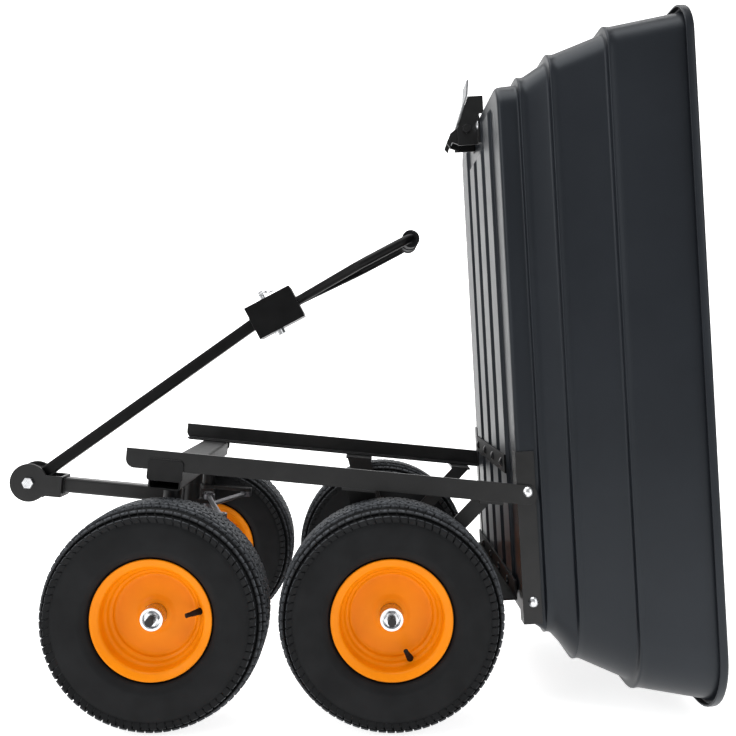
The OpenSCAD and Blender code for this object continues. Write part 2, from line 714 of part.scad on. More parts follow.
// A flat bar that stands on the axle tube and ends in a foot turned out under the rail
axle_at = [rail_x(rear_axle_ahead, axle_drop), rail_z(rear_axle_ahead, axle_drop)];
upright_foot = rail_x(rear_axle_ahead + upright_rake, (rear_axle_ahead + upright_rake) * tan(rail_slope));
strut_foot = rail_x(strut_ahead, strut_ahead * tan(rail_slope));
module brace(inner_y, foot_x, w, foot_w, below) {
    top_z = rail_bottom - plate_t / 2;
    way = unit([foot_x, top_z] - axle_at);
    across = [-way.y, way.x] * w / 2;
    half_top = w / 2 / way.y;
    low = axle_at - way * below;
    difference() {
        rail_frame() union() {
            side_plate(inner_y, inner_y + plate_t)
                polygon([low - across, [foot_x + half_top, top_z], [foot_x - half_top, top_z], low + across]);
            translate([foot_x - foot_w / 2, inner_y, rail_bottom - plate_t])
                cube([foot_w, rail_out - inner_y, plate_t]);
        }
        translate([rear_axle_x - axle_tube / 2, 0, axle_z - axle_tube / 2])
            cube([axle_tube, wheel_y, axle_tube]);
    }
}
module rear_uprights() {
    color(black_steel)
        for (left = [true, false])
            right_of(left) brace(upright_y - plate_t, upright_foot, upright_w, upright_w + 8, upright_w / 2);
}
module rear_struts() {
    color(black_steel)
        for (left = [true, false])
            right_of(left) brace(upright_y - 2 * plate_t, strut_foot, strut_w, strut_w + 12, 0);
}
module axle_nut() {
    translate([0, 0, nut_y]) difference() {
        union() {
            cylinder(r = recess_r - 1, h = washer_t);
            translate([0, 0, washer_t]) cylinder(r = 10.9, h = nut_h, $fn = 6);
        }
        translate([0, 0, -1]) cylinder(d = tip_d + 2 * fit, h = nut_h + washer_t + 2);
    }
}
module chassis_nuts() {
    color(zinc) {
        for (side = [-1, 1])
            wheel_frame(rear_axle_x, side) axle_nut();
        rail_frame() translate([kingpin_x, 0, head_bottom - clear - washer_t - nut_h]) difference() {
            union() {
                cylinder(d = 1.8 * steer_pin_d, h = nut_h, $fn = 6);
                translate([0, 0, nut_h]) cylinder(d = 2.2 * steer_pin_d, h = washer_t);
            }
            translate([0, 0, -1]) cylinder(d = steer_pin_d + 2 * fit, h = nut_h + washer_t + 2);
        }
    }
}

// Drawbar, which turns on the steering kingpin and carries the handle's clevis
module drawbar_head() {
    color(black_steel) rail_frame() translate([kingpin_x, 0, 0]) difference() {
        union() {
            translate([0, 0, head_bottom]) cylinder(d = head_d, h = head_h);
            translate([-steer_ear, -eye_r, arm_low]) cube([steer_ear, 2 * eye_r, arm_t]);
            translate([-steer_ear, 0, arm_low]) cylinder(r = eye_r, h = arm_t);
        }
        translate([0, 0, head_bottom - 1]) cylinder(d = steer_pin_d + 2 * fit, h = head_h + 2);
        translate([-steer_ear, 0, arm_low - 1]) cylinder(d = tie_pin_d + 2 * fit, h = arm_t + 2);
    }
}
module tie_rod_pin() {
    color(zinc) rail_frame() translate([kingpin_x - steer_ear, 0, arm_low - eye_h - 2 * clear]) {
        cylinder(d = tie_pin_d, h = arm_t + 2 * eye_h + 4 * clear);
        translate([0, 0, -pin_cap]) cylinder(r = tie_pin_d * 0.8, h = pin_cap);
        translate([0, 0, arm_t + 2 * eye_h + 4 * clear]) cylinder(r = tie_pin_d * 0.8, h = pin_cap);
    }
}
clevis_back = 59;
module drawbar_tube() {
    color(black_steel) rail_frame() difference() {
        translate([0, 0, drawbar_z])
            box_tube(drawbar_w, drawbar_w, tube_t, kingpin_x, clevis_ahead - clevis_back);
        translate([kingpin_x, 0, head_bottom]) cylinder(d = head_d, h = head_h);
    }
}
cheek_t = 4;
cheek_up = 16;
cheek_low = 21;
module drawbar_clevis() {
    half = cheek_gap / 2;
    color(black_steel) rail_frame() translate([clevis_ahead, 0, drawbar_z]) difference() {
        union() {
            for (side = [-1, 1])
                side_plate(side * (half + cheek_t / 2) - cheek_t / 2,
                        side * (half + cheek_t / 2) + cheek_t / 2) {
                    circle(cheek_r);
                    translate([-clevis_back, -cheek_low]) square([clevis_back, cheek_low + cheek_up]);
                }
            translate([-clevis_back, -half, -cheek_low]) cube([cheek_t, 2 * half, cheek_low + cheek_up]);
        }
        pin_y(clevis_pin_d / 2 + fit, -half - cheek_t - 1, half + cheek_t + 1);
    }
}
module clevis_pin() {
    out = cheek_gap / 2 + cheek_t;
    color(zinc) rail_frame() translate([clevis_ahead, 0, drawbar_z]) {
        pin_y(clevis_pin_d / 2, -out - nut_h, out);
        hex_y(clevis_pin_d * 0.85, out, out + 6);
        hex_y(clevis_pin_d * 0.85, -out - nut_h, -out);
    }
}

// Pull handle
hub_half = cheek_gap / 2 - 1;
bar_hub_r = 28;
module pull_bar_hub() {
    color(black_steel) pull_frame() difference() {
        pin_y(bar_hub_r, -hub_half, hub_half);
        pin_y(clevis_pin_d / 2 + fit, -hub_half - 1, hub_half + 1);
    }
}
module pull_bar() {
    color(black_steel) pull_frame() difference() {
        box_tube(pull_bar_w, pull_bar_w, tube_t, 0, pull_bar_len);
        pin_y(bar_hub_r, -hub_half, hub_half);
        translate([pull_bar_len, 0, 0]) rotate([0, -socket_bend, 0])
            translate([0, -pull_bar_w, -pull_bar_w]) cube([pull_bar_w, 2 * pull_bar_w, 2 * pull_bar_w]);
    }
}
hitch_x = 0.4 * socket_len;
module hitch_bore(r) { translate([hitch_x, 0, -socket_h]) cylinder(r = r, h = 2 * socket_h); }
module tow_socket() {
    color(black_steel) socket_frame() difference() {
        translate([0, -socket_w / 2, -socket_h / 2]) cube([socket_len, socket_w, socket_h]);
        translate([socket_t, socket_t - socket_w / 2, socket_t - socket_h / 2])
            cube([socket_len, socket_w - 2 * socket_t, socket_h - 2 * socket_t]);
        hitch_bore(hitch_d / 2 + fit);
    }
}
arm_root_y = 10;
arm_start = socket_len - 20;
tongue_out = 1;
tongue_in = 0.15 * socket_len;
arm_splay = 26;
arm_bend = 30;
loop_bend = 20;
arm_root = socket_len + tongue_out + 2 - arm_start;
splay_out = handle_w / 2 - arm_root_y - 2 * arm_bend * (1 - cos(arm_splay));
splay_run = splay_out / sin(arm_splay);
splay_ahead = splay_run * cos(arm_splay) + 2 * arm_bend * sin(arm_splay);
arm_run = grip_reach - loop_bend - arm_start - arm_root - splay_ahead;
loop_run = handle_w - 2 * loop_bend;
module handle_tongue() {
    w = socket_w - 2 * socket_t - 2 * clear;
    h = socket_h - 2 * socket_t - 2 * clear;
    color(black_steel) socket_frame() difference() {
        translate([tongue_in, -w / 2, -h / 2]) cube([socket_len + tongue_out - tongue_in, w, h]);
        hitch_bore(hitch_d / 2 + fit);
        for (side = [-1, 1])
            translate([arm_start, side * arm_root_y, 0]) rotate([0, 90, 0])
                cylinder(d = handle_tube_d + 2 * fit, h = socket_len);
    }
}
module handle_loop() {
    color(black_steel) socket_frame() translate([arm_start, arm_root_y, 0])
        bent_bar([[arm_root, arm_splay, arm_bend], [splay_run, -arm_splay, arm_bend],
            [arm_run, -90, loop_bend], [loop_run, -90, loop_bend], [arm_run, -arm_splay, arm_bend],
            [splay_run, arm_splay, arm_bend], [arm_root, 0, 0]], handle_tube_d / 2);
}
module handle_grip() {
    half = loop_run / 2 - 1;
    bead = 5;
    color(rubber) socket_frame() translate([grip_reach, 0, 0]) difference() {
        union() {
            pin_y(grip_d / 2 - 1.5, -half, half);
            for (y = [-half, -bead / 2, half - bead])
                pin_y(grip_d / 2, y, y + bead);
        }
        pin_y(handle_tube_d / 2 + fit, -half - 1, half + 1);
    }
}
hitch_low = socket_h / 2 + 16;
clip_z = -socket_h / 2 - 9;
clip_wire = 1.6;
module hitch_pin() {
    knob_h = 9;
    color(zinc) socket_frame() translate([hitch_x, 0, 0]) difference() {
        union() {
            translate([0, 0, -hitch_low]) cylinder(d = hitch_d, h = hitch_low + socket_h / 2);
            translate([0, 0, socket_h / 2]) cylinder(d = 1.7 * hitch_d, h = knob_h);
        }
        translate([0, 0, clip_z]) pin_y(clip_wire + fit, -hitch_d, hitch_d);
    }
}
// Hairpin clip: one leg goes through the pin, the other springs along its outside
module hitch_clip() {
    bow = (hitch_d / 2 + clip_wire) / 2 + 3;
    color(zinc) socket_frame() translate([hitch_x, -hitch_d, clip_z]) rotate([0, 0, 90])
        bent_bar([[3 * hitch_d, -190, bow], [16, 22, 10], [14, 22, 10], [12, 0, 0]], clip_wire);
}

// Steering knuckles and tie rods
leg_w = 34;
leg_t = 16;
module knuckle(left) {
    pin_up = left ? arm_top : arm_low - eye_h - 2 * clear;
    drop = arm_low - spindle_z;
    color(black_steel) rail_frame() right_of(left) translate([kingpin_x, kingpin_y, 0]) difference() {
        union() {
            translate([0, 0, arm_low]) cylinder(r = kingpin_d / 2 + 12, h = arm_t);
            translate([0, 0, arm_top]) cylinder(d = kingpin_d, h = kingpin_tube_h - 2);
            translate([-knuckle_arm, -eye_r, arm_low]) cube([knuckle_arm, 2 * eye_r, arm_t]);
            translate([-knuckle_arm, 0, arm_low]) cylinder(r = eye_r, h = arm_t);
            translate([-knuckle_arm, 0, pin_up])
                cylinder(d = tie_pin_d, h = eye_h + 2 * clear);
            side_plate(-leg_t / 2, leg_t / 2) {
                polygon([[-leg_w / 2, arm_low + arm_t / 2], [leg_w / 2, arm_low + arm_t / 2],
                    [leg_w / 2 - kingpin_trail, spindle_z], [-leg_w / 2 - kingpin_trail, spindle_z]]);
                translate([-kingpin_trail, spindle_z]) circle(leg_w / 2);
            }
        }
        translate([-kingpin_trail, 0, spindle_z]) pin_y(axle_d / 2 + fit, -leg_t, leg_t);
    }
}
module knuckle_left() { knuckle(true); }
module knuckle_right() { knuckle(false); }
module spindle(left) {
    color(black_steel) right_of(left) translate([front_axle_x, 0, axle_z]) {
        pin_y(axle_d / 2, kingpin_y - leg_t / 2, wheel_y + shaft_end);
        pin_y(axle_d / 2 + 5, kingpin_y + leg_t / 2, wheel_y - hub_in - clear);
        pin_y(tip_d / 2, kingpin_y, wheel_y + tip_reach);
    }
}
module spindle_left() { spindle(true); }
module spindle_right() { spindle(false); }
module spindle_nut_left() { color(zinc) wheel_frame(front_axle_x, 1) axle_nut(); }
module spindle_nut_right() { color(zinc) wheel_frame(front_axle_x, -1) axle_nut(); }
// A tie rod runs from the drawbar's ear out to the knuckle's arm; its outer eye is the roomy one
module tie_rod(left) {
    eye_low = left ? arm_top + clear : arm_low - eye_h - clear;
    color(zinc) rail_frame() right_of(left) translate([kingpin_x - steer_ear, 0, eye_low])
        rotate([0, 0, tie_turn]) difference() {
            union() {
                cylinder(r = eye_r, h = eye_h);
                translate([0, tie_len, 0]) cylinder(r = eye_r, h = eye_h);
                translate([0, 0, eye_h / 2]) pin_y(min(tie_rod_d, eye_h) / 2, eye_r - 2, tie_len - eye_r + 2);
            }
            translate([0, 0, -1]) cylinder(d = tie_pin_d + 2 * fit, h = eye_h + 2);
            translate([0, tie_len, -1]) cylinder(d = tie_pin_d + 2 * eye_play, h = eye_h + 2);
        }
}
module tie_rod_left() { tie_rod(true); }
module tie_rod_right() { tie_rod(false); }

// Wheels
squareness = 0.62;
outer_wrap = 36;
inner_wrap = 25;
function flat_pow(v, e) = sign(v) * pow(abs(v), e);
// Rounded-box curve of a tyre's section: half width b, half height h, about the radius mid
function tyre_curve(mid, b, h, from, to, steps) = [for (k = [0 : steps])
    let (a = from + (to - from) * k / steps)
    [mid + h * flat_pow(sin(a), squareness), b * flat_pow(cos(a), squareness)]];
module tyre() {
    crown = tyre_d / 2;
    mid = (crown + rim_r - 8) / 2;
    half = tyre_w / 2;
    wall = 9;
    bead_y = rim_half - lip - rim_t - clear;
    bead_r = seat_r + clear;
    bead_t = 9;
    groove_w = 5;
    groove_y = 0.22 * half;
    notch = 0.42 * 2 * PI * crown / tread_count;
    color(rubber) difference() {
        rotate_extrude($fn = 96) polygon(concat(
            tyre_curve(mid, half, crown - mid, -outer_wrap, 180 + outer_wrap, 28),
            [[rim_r + 1, -bead_y], [bead_r, -bead_y], [bead_r, bead_t - bead_y]],
            tyre_curve(mid, half - wall, crown - mid - wall, 180 + inner_wrap, -inner_wrap, 14),
            [[bead_r, bead_y - bead_t], [bead_r, bead_y], [rim_r + 1, bead_y]]));
        for (side = [-1, 1])
            rotate_extrude($fn = 96) translate([crown - tread_depth, side * groove_y - groove_w / 2])
                square([2 * tread_depth, groove_w]);
        for (side = [-1, 1], k = [0 : tread_count - 1])
            rotate([0, 0, 360 * (k + 0.25 * side) / tread_count])
                translate([crown - tread_depth, -notch / 4, side > 0 ? 0.5 * half : -half])
                    cube([2 * tread_depth, notch / 2, 0.5 * half]);
    }
}
module rim() {
    color(orange) difference() {
        rotate_extrude($fn = 96) polygon([
            [rim_r, rim_half], [rim_r, rim_half - lip], [seat_r, rim_half - lip - rim_t],
            [seat_r, rim_half - 12], [seat_r - 1, rim_half - 22], [well_r, rim_half - 34],
            [well_r, 34 - rim_half], [seat_r - 1, 22 - rim_half], [seat_r, 12 - rim_half],
            [seat_r, lip + rim_t - rim_half], [rim_r, lip - rim_half], [rim_r, -rim_half],
            [rim_r - 3, -rim_half], [seat_r - rim_t, 10 - rim_half], [seat_r - 1 - rim_t, 21 - rim_half],
            [well_r - rim_t, 33 - rim_half], [well_r - rim_t, disc_y - 5], [well_r - 8, disc_y - 2 - rim_t],
            [hub_r + 12, disc_y - rim_t], [hub_r + 6, disc_y + 3 - rim_t],
            [hub_r + fit, disc_y + 3 - rim_t], [hub_r + fit, disc_y + 3], [hub_r + 6, disc_y + 3],
            [hub_r + 12, disc_y], [well_r - 8, disc_y - 2], [well_r - rim_t - 1, disc_y],
            [well_r - rim_t, rim_half - 33], [seat_r - 1 - rim_t, rim_half - 21],
            [seat_r - rim_t, rim_half - 10], [rim_r - 3, rim_half]]);
    }
}
module hub() {
    color(zinc) translate([0, 0, -hub_in]) difference() {
        cylinder(r = hub_r, h = hub_in + hub_out);
        translate([0, 0, -1]) cylinder(d = axle_d + 2 * fit, h = hub_in + hub_out + 2);
        translate([0, 0, hub_in + hub_out - hub_recess]) cylinder(r = recess_r, h = hub_recess + 1);
    }
}
// The stem stands square on the slope between the rim's well and its bead seat
module valve(turn) {
    slope_low = [well_r - rim_t, rim_half - 33];
    slope_high = [seat_r - 1 - rim_t, rim_half - 21];
    foot_at = (slope_low + slope_high) / 2;
    slope = atan2(slope_high.y - slope_low.y, slope_high.x - slope_low.x);
    color(rubber) rotate([0, 0, turn]) translate([foot_at.x, 0, foot_at.y]) rotate([0, -slope, 0]) {
        translate([0, 0, clear]) cylinder(r1 = valve_r + 0.8, r2 = valve_r - 0.5, h = 0.62 * valve_len);
        translate([0, 0, clear]) cylinder(r = valve_r - 1, h = valve_len);
    }
}
module tyre_front_left() { wheel_frame(front_axle_x, 1) tyre(); }
module rim_front_left() { wheel_frame(front_axle_x, 1) rim(); }
module hub_front_left() { wheel_frame(front_axle_x, 1) hub(); }
module valve_front_left() { wheel_frame(front_axle_x, 1) valve(valve_turns[0]); }
module tyre_front_right() { wheel_frame(front_axle_x, -1) tyre(); }
module rim_front_right() { wheel_frame(front_axle_x, -1) rim(); }
module hub_front_right() { wheel_frame(front_axle_x, -1) hub(); }
module valve_front_right() { wheel_frame(front_axle_x, -1) valve(valve_turns[2]); }
module tyre_rear_left() { wheel_frame(rear_axle_x, 1) tyre(); }
module rim_rear_left() { wheel_frame(rear_axle_x, 1) rim(); }
module hub_rear_left() { wheel_frame(rear_axle_x, 1) hub(); }
module valve_rear_left() { wheel_frame(rear_axle_x, 1) valve(valve_turns[1]); }
module tyre_rear_right() { wheel_frame(rear_axle_x, -1) tyre(); }
module rim_rear_right() { wheel_frame(rear_axle_x, -1) rim(); }
module hub_rear_right() { wheel_frame(rear_axle_x, -1) hub(); }
module valve_rear_right() { wheel_frame(rear_axle_x, -1) valve(valve_turns[3]); }

echo(tip_travel = tip_travel, hinge = [hinge_x, 0, hinge_z], rear_axle_x = rear_axle_x,
    front_axle_x = front_axle_x, kingpin = [hinge_x + world_x(kingpin_x, arm_top),
    hinge_z + world_z(kingpin_x, arm_top)], tie_pin = [hinge_x + world_x(kingpin_x - steer_ear, arm_top),
    hinge_z + world_z(kingpin_x - steer_ear, arm_top)],
    clevis = [hinge_x + world_x(clevis_ahead, drawbar_z), hinge_z + world_z(clevis_ahead, drawbar_z)],
    latch = [hinge_x + latch_x * sin(tub_lean) + latch_z * cos(tub_lean),
    hinge_z + latch_x * cos(tub_lean) - latch_z * sin(tub_lean)], rail_stop = rail_stop);

tub();
tub_bracket_left();
tub_bracket_right();
tub_cross_strap();
tub_cross_angle();
tub_bolts();
hinge_bolts();
latch_bracket();
latch_bolt();
latch_lever();
latch_handle();
latch_spring();
rail_left();
rail_right();
front_cross_member();
kingpin_tubes();
steering_kingpin();
rear_axle_tube();
rear_axle_shaft();
rear_uprights();
rear_struts();
chassis_nuts();
drawbar_head();
drawbar_tube();
drawbar_clevis();
clevis_pin();
tie_rod_pin();
pull_bar_hub();
pull_bar();
tow_socket();
handle_tongue();
handle_loop();
handle_grip();
hitch_pin();
hitch_clip();
knuckle_left();
knuckle_right();
spindle_left();
spindle_right();
spindle_nut_left();
spindle_nut_right();
tie_rod_left();
tie_rod_right();
tyre_front_left();
rim_front_left();
hub_front_left();
valve_front_left();
tyre_front_right();
rim_front_right();
hub_front_right();
valve_front_right();
tyre_rear_left();
rim_rear_left();
hub_rear_left();
valve_rear_left();
tyre_rear_right();
rim_rear_right();
hub_rear_right();
valve_rear_right();
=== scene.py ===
"""Looks of the tipping dump cart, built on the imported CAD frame: +X forward, +Y left, +Z up, in metres."""
import json
import math

import bmesh
import bpy
from mathutils import Matrix, Vector


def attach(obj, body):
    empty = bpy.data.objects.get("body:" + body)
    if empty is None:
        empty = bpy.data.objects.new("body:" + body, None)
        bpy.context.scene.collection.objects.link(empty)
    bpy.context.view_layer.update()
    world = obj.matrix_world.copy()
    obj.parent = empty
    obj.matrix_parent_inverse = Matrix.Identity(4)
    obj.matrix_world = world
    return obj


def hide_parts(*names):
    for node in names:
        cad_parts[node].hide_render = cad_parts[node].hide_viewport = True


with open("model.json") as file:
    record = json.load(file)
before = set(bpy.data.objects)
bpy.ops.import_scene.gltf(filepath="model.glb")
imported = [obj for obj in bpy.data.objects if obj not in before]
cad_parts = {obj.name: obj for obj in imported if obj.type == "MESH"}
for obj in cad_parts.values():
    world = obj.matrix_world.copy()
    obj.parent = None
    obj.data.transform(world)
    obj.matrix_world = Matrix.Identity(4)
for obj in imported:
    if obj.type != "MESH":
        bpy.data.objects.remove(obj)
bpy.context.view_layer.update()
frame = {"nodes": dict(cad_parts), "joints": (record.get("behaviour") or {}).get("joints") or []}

# Studio: a pale seamless sweep that runs from the floor up behind the cart, lit by large soft panels.
# Past the sweep's edges the surround is seen as white, but it lights the cart only dimly.
# The camera stands level, to the cart's left, at the photograph's distance and framing.

# Sweep: half its width, then its rows from front to back; the flat one keeps the floor's shading level
SWEEP_HALF, SWEEP_NEAR, SWEEP_FLAT, SWEEP_BEND, SWEEP_R, SWEEP_TOP = 9.0, 2.6, -1.0, -5.1, 0.9, 6.5
SWEEP_STEPS = 10
WHITE, SWEEP_GREY = (1, 1, 1, 1), (0.94, 0.94, 0.94, 1)
SENSOR_W, PHOTO_PX, FOCAL_PX, SHIFT_RIGHT_PX, SHIFT_UP_PX = 36, 736, 914, 8, -13
# Place of the camera, from the tub's hinge and the cart's middle plane
CAMERA_AHEAD, CAMERA_LEFT, CAMERA_UP = 0.259, 1.66, 0.211
joints = {j["name"]: j for j in frame["joints"]}


def pivot(joint):
    return joints[joint]["pos_m"]


def add_object(name, data):
    thing = bpy.data.objects.new(name, data)
    bpy.context.scene.collection.objects.link(thing)
    return thing


def shade_smooth(mesh):
    mesh.polygons.foreach_set("use_smooth", [True] * len(mesh.polygons))


def set_inputs(node, **values):
    """Sets a node's sockets by name, with an underscore for each space."""
    for key, value in values.items():
        node.inputs[key.replace("_", " ")].default_value = value


def add_node(tree, kind, settings=(), **values):
    node = tree.nodes.new(kind)
    for key, value in dict(settings).items():
        setattr(node, key, value)
    set_inputs(node, **values)
    return node


def new_material(name):
    mat = bpy.data.materials.new(name)
    mat.use_nodes = True
    return mat, mat.node_tree, mat.node_tree.nodes["Principled BSDF"]


def soft_panel(name, place, target, size, power):
    light = bpy.data.lights.new(name, "AREA")
    light.shape = "RECTANGLE"
    light.size, light.size_y = size
    light.energy = power
    panel = add_object(name, light)
    panel.location = place
    panel.rotation_euler = (Vector(target) - Vector(place)).to_track_quat("-Z", "Y").to_euler()


sweep_rows = [(SWEEP_NEAR, 0.0), (SWEEP_FLAT, 0.0), (SWEEP_BEND, 0.0)]
for step in range(1, SWEEP_STEPS + 1):
    turn = math.radians(90 * step / SWEEP_STEPS)
    sweep_rows.append((SWEEP_BEND - SWEEP_R * math.sin(turn), SWEEP_R - SWEEP_R * math.cos(turn)))
sweep_rows.append((SWEEP_BEND - SWEEP_R, SWEEP_TOP))
sweep_mesh = bpy.data.meshes.new("sweep")
sweep_mesh.from_pydata([(x, y, z) for y, z in sweep_rows for x in (-SWEEP_HALF, SWEEP_HALF)], [],
                       [(2 * i, 2 * i + 1, 2 * i + 3, 2 * i + 2) for i in range(len(sweep_rows) - 1)])
shade_smooth(sweep_mesh)
sweep = add_object("sweep", sweep_mesh)
sweep_paint, _, sweep_bsdf = new_material("sweep_paint")
set_inputs(sweep_bsdf, Base_Color=SWEEP_GREY, Roughness=0.9, Emission_Color=WHITE, Emission_Strength=0.80)
sweep_mesh.materials.append(sweep_paint)

world = bpy.data.worlds.new("studio")
bpy.context.scene.world = world
world.use_nodes = True
surround_tree = world.node_tree
lighting = surround_tree.nodes["Background"]
set_inputs(lighting, Color=WHITE, Strength=0.38)
seen = add_node(surround_tree, "ShaderNodeBackground", Color=WHITE, Strength=1.0)
ray = surround_tree.nodes.new("ShaderNodeLightPath")
surround = surround_tree.nodes.new("ShaderNodeMixShader")
surround_tree.links.new(ray.outputs["Is Camera Ray"], surround.inputs[0])
surround_tree.links.new(lighting.outputs[0], surround.inputs[1])
surround_tree.links.new(seen.outputs[0], surround.inputs[2])
surround_tree.links.new(surround.outputs[0], surround_tree.nodes["World Output"].inputs["Surface"])
bpy.context.scene.view_settings.view_transform = "Standard"

soft_panel("overhead", place=(0.5, 0.6, 2.9), target=(0, 0, 0.3), size=(2.6, 2.0), power=52)
soft_panel("front_left", place=(2.4, 2.2, 1.6), target=(0.2, 0, 0.4), size=(1.6, 1.6), power=26)
soft_panel("rear_left", place=(-2.4, 2.4, 1.4), target=(-0.3, 0, 0.5), size=(1.4, 1.8), power=15)
soft_panel("backdrop", place=(0, -1.0, 3.2), target=(0, -2.4, 0.9), size=(3.5, 0.8), power=40)

camera_data = bpy.data.cameras.new("camera")
camera_data.sensor_width = SENSOR_W
camera_data.lens = SENSOR_W * FOCAL_PX / PHOTO_PX
camera_data.shift_x = SHIFT_RIGHT_PX / PHOTO_PX
camera_data.shift_y = SHIFT_UP_PX / PHOTO_PX
camera = add_object("camera", camera_data)
hinge_x, _, hinge_z = pivot("tub_tip")
camera.location = (hinge_x + CAMERA_AHEAD, CAMERA_LEFT, hinge_z + CAMERA_UP)
camera.rotation_euler = (math.radians(90), 0, math.radians(180))
bpy.context.scene.camera = camera

# Chassis steel: rails, cross-member, axle, drawbar, knuckles, and the tub's brackets, cross bars and latch.
# They are cut, bent and welded mild steel under a black powder coat with a faint orange-peel skin.
# The coat is satin and paler along sharp edges, partly rubbed wear and partly a painted highlight, and duller
# on the cross-member and the cross bars.
# Pale colour for sharp edges: rubbed wear and a painted highlight
EDGE_WEAR_AND_HIGHLIGHT = (0.075, 0.075, 0.08)
nodes = frame["nodes"]


def object_place(tree):
    return tree.nodes.new("ShaderNodeTexCoord").outputs["Object"]


def noise(tree, place, scale, detail):
    node = add_node(tree, "ShaderNodeTexNoise", Scale=scale, Detail=detail)
    tree.links.new(place, node.inputs["Vector"])
    return node.outputs["Fac"]


def ramp(tree, fac, stops):
    """A colour for each value, from two stops of place and colour."""
    node = tree.nodes.new("ShaderNodeValToRGB")
    for element, (at, colour) in zip(node.color_ramp.elements, stops):
        element.position = at
        element.color = (*colour, 1)
    tree.links.new(fac, node.inputs["Fac"])
    return node.outputs["Color"]


def value_range(tree, fac, low, high, start=0.0, stop=1.0):
    """A value between low and high, as the input runs from start to stop."""
    node = add_node(tree, "ShaderNodeMapRange", From_Min=start, From_Max=stop, To_Min=low, To_Max=high)
    tree.links.new(fac, node.inputs["Value"])
    return node.outputs["Result"]


def soft_edges(tree, radius):
    """The normal of a surface whose sharp edges are rounded by a radius."""
    return add_node(tree, "ShaderNodeBevel", {"samples": 4}, Radius=radius).outputs["Normal"]


def edge_mask(tree, soft_normal):
    """1 on sharp edges and 0 on flats, from how far the rounded normal leaves the plain one."""
    geometry = tree.nodes.new("ShaderNodeNewGeometry")
    dot = add_node(tree, "ShaderNodeVectorMath", {"operation": "DOT_PRODUCT"})
    tree.links.new(soft_normal, dot.inputs[0])
    tree.links.new(geometry.outputs["Normal"], dot.inputs[1])
    return value_range(tree, dot.outputs["Value"], low=1.0, high=0.0, start=0.80, stop=0.99)


def mix_colour(tree, fac, a, b):
    """Colour a where the factor is 0 and b where it is 1; each is a socket or three numbers."""
    node = add_node(tree, "ShaderNodeMix", {"data_type": "RGBA"})
    tree.links.new(fac, node.inputs[0])
    for socket, colour in ((node.inputs[6], a), (node.inputs[7], b)):
        if isinstance(colour, tuple):
            socket.default_value = (*colour, 1)
        else:
            tree.links.new(colour, socket)
    return node.outputs[2]


def add_bump(tree, bsdf, height, strength, distance, normal=None):
    bump = add_node(tree, "ShaderNodeBump", Strength=strength, Distance=distance)
    tree.links.new(height, bump.inputs["Height"])
    if normal is not None:
        tree.links.new(normal, bump.inputs["Normal"])
    tree.links.new(bump.outputs["Normal"], bsdf.inputs["Normal"])


def powder_coat(name, dark, pale, rough, gloss):
    mat, tree, bsdf = new_material(name)
    place = object_place(tree)
    soft_normal = soft_edges(tree, radius=0.0012)
    film = ramp(tree, noise(tree, place, scale=38, detail=5), [(0.3, dark), (0.75, pale)])
    # Sharp edges are mixed towards a pale colour: partly rubbed wear, partly a painted highlight where edges
    # catch the light
    edge_wear_and_highlight = value_range(tree, edge_mask(tree, soft_normal), low=0.0, high=0.35)
    tree.links.new(mix_colour(tree, edge_wear_and_highlight, film, EDGE_WEAR_AND_HIGHLIGHT), bsdf.inputs["Base Color"])
    sheen = noise(tree, place, scale=90, detail=4)
    tree.links.new(value_range(tree, sheen, rough - 0.06, rough + 0.07), bsdf.inputs["Roughness"])
    peel = noise(tree, place, scale=850, detail=2)
    add_bump(tree, bsdf, peel, strength=0.10, distance=0.0006, normal=soft_normal)
    set_inputs(bsdf, Specular_IOR_Level=gloss)
    return mat


def dress(names, mat):
    for name in names:
        mesh = nodes[name].data
        mesh.materials.clear()
        mesh.materials.append(mat)


steel_black = powder_coat("steel_black", dark=(0.0055, 0.0056, 0.0059), pale=(0.0105, 0.0106, 0.0109),
                          rough=0.34, gloss=0.33)
dress(["rail_left", "rail_right", "kingpin_tubes", "steering_kingpin", "rear_axle_tube",
       "rear_axle_shaft", "rear_uprights", "rear_struts", "drawbar_head", "drawbar_tube", "drawbar_clevis",
       "knuckle_left", "knuckle_right", "spindle_left", "spindle_right", "tub_bracket_left",
       "tub_bracket_right", "latch_bracket", "latch_lever", "latch_bolt"], steel_black)
cross_black = powder_coat("cross_black", dark=(0.0050, 0.0051, 0.0054), pale=(0.0095, 0.0096, 0.0099),
                          rough=0.52, gloss=0.22)
dress(["front_cross_member"], cross_black)
bar_black = powder_coat("bar_black", dark=(0.0018, 0.0019, 0.0020), pale=(0.0040, 0.0041, 0.0043),
                        rough=0.55, gloss=0.10)
dress(["tub_cross_strap", "tub_cross_angle"], bar_black)

# Pull handle: square tube with a turned hub at its foot, a folded socket, a flat tongue and a bent loop.
# It is mild steel, coated apart from the chassis in a deeper black with less shine.
handle_black = powder_coat("handle_black", dark=(0.0022, 0.0023, 0.0025), pale=(0.0050, 0.0051, 0.0054),
                           rough=0.36, gloss=0.15)
dress(["pull_bar_hub", "pull_bar", "tow_socket", "handle_tongue", "handle_loop"], handle_black)

# Fasteners and pins: bolts, nuts, hub sleeves, the latch spring, the clevis pin, the hitch pin and its clip.
# They are turned, bent or cold-headed steel with a bright zinc plate that is a little cloudy.
# The tie rods with their pin and the latch's strap handle are plated too, but grey and duller.


def zinc_plate(name, bright, dull, rough):
    mat, tree, bsdf = new_material(name)
    place = object_place(tree)
    cloud = noise(tree, place, scale=160, detail=4)
    tree.links.new(ramp(tree, cloud, [(0.25, dull), (0.7, bright)]), bsdf.inputs["Base Color"])
    sheen = noise(tree, place, scale=420, detail=3)
    tree.links.new(value_range(tree, sheen, rough - 0.08, rough + 0.1), bsdf.inputs["Roughness"])
    grain = noise(tree, place, scale=1600, detail=2)
    add_bump(tree, bsdf, grain, strength=0.08, distance=0.0003, normal=soft_edges(tree, radius=0.0006))
    set_inputs(bsdf, Metallic=1.0)
    return mat


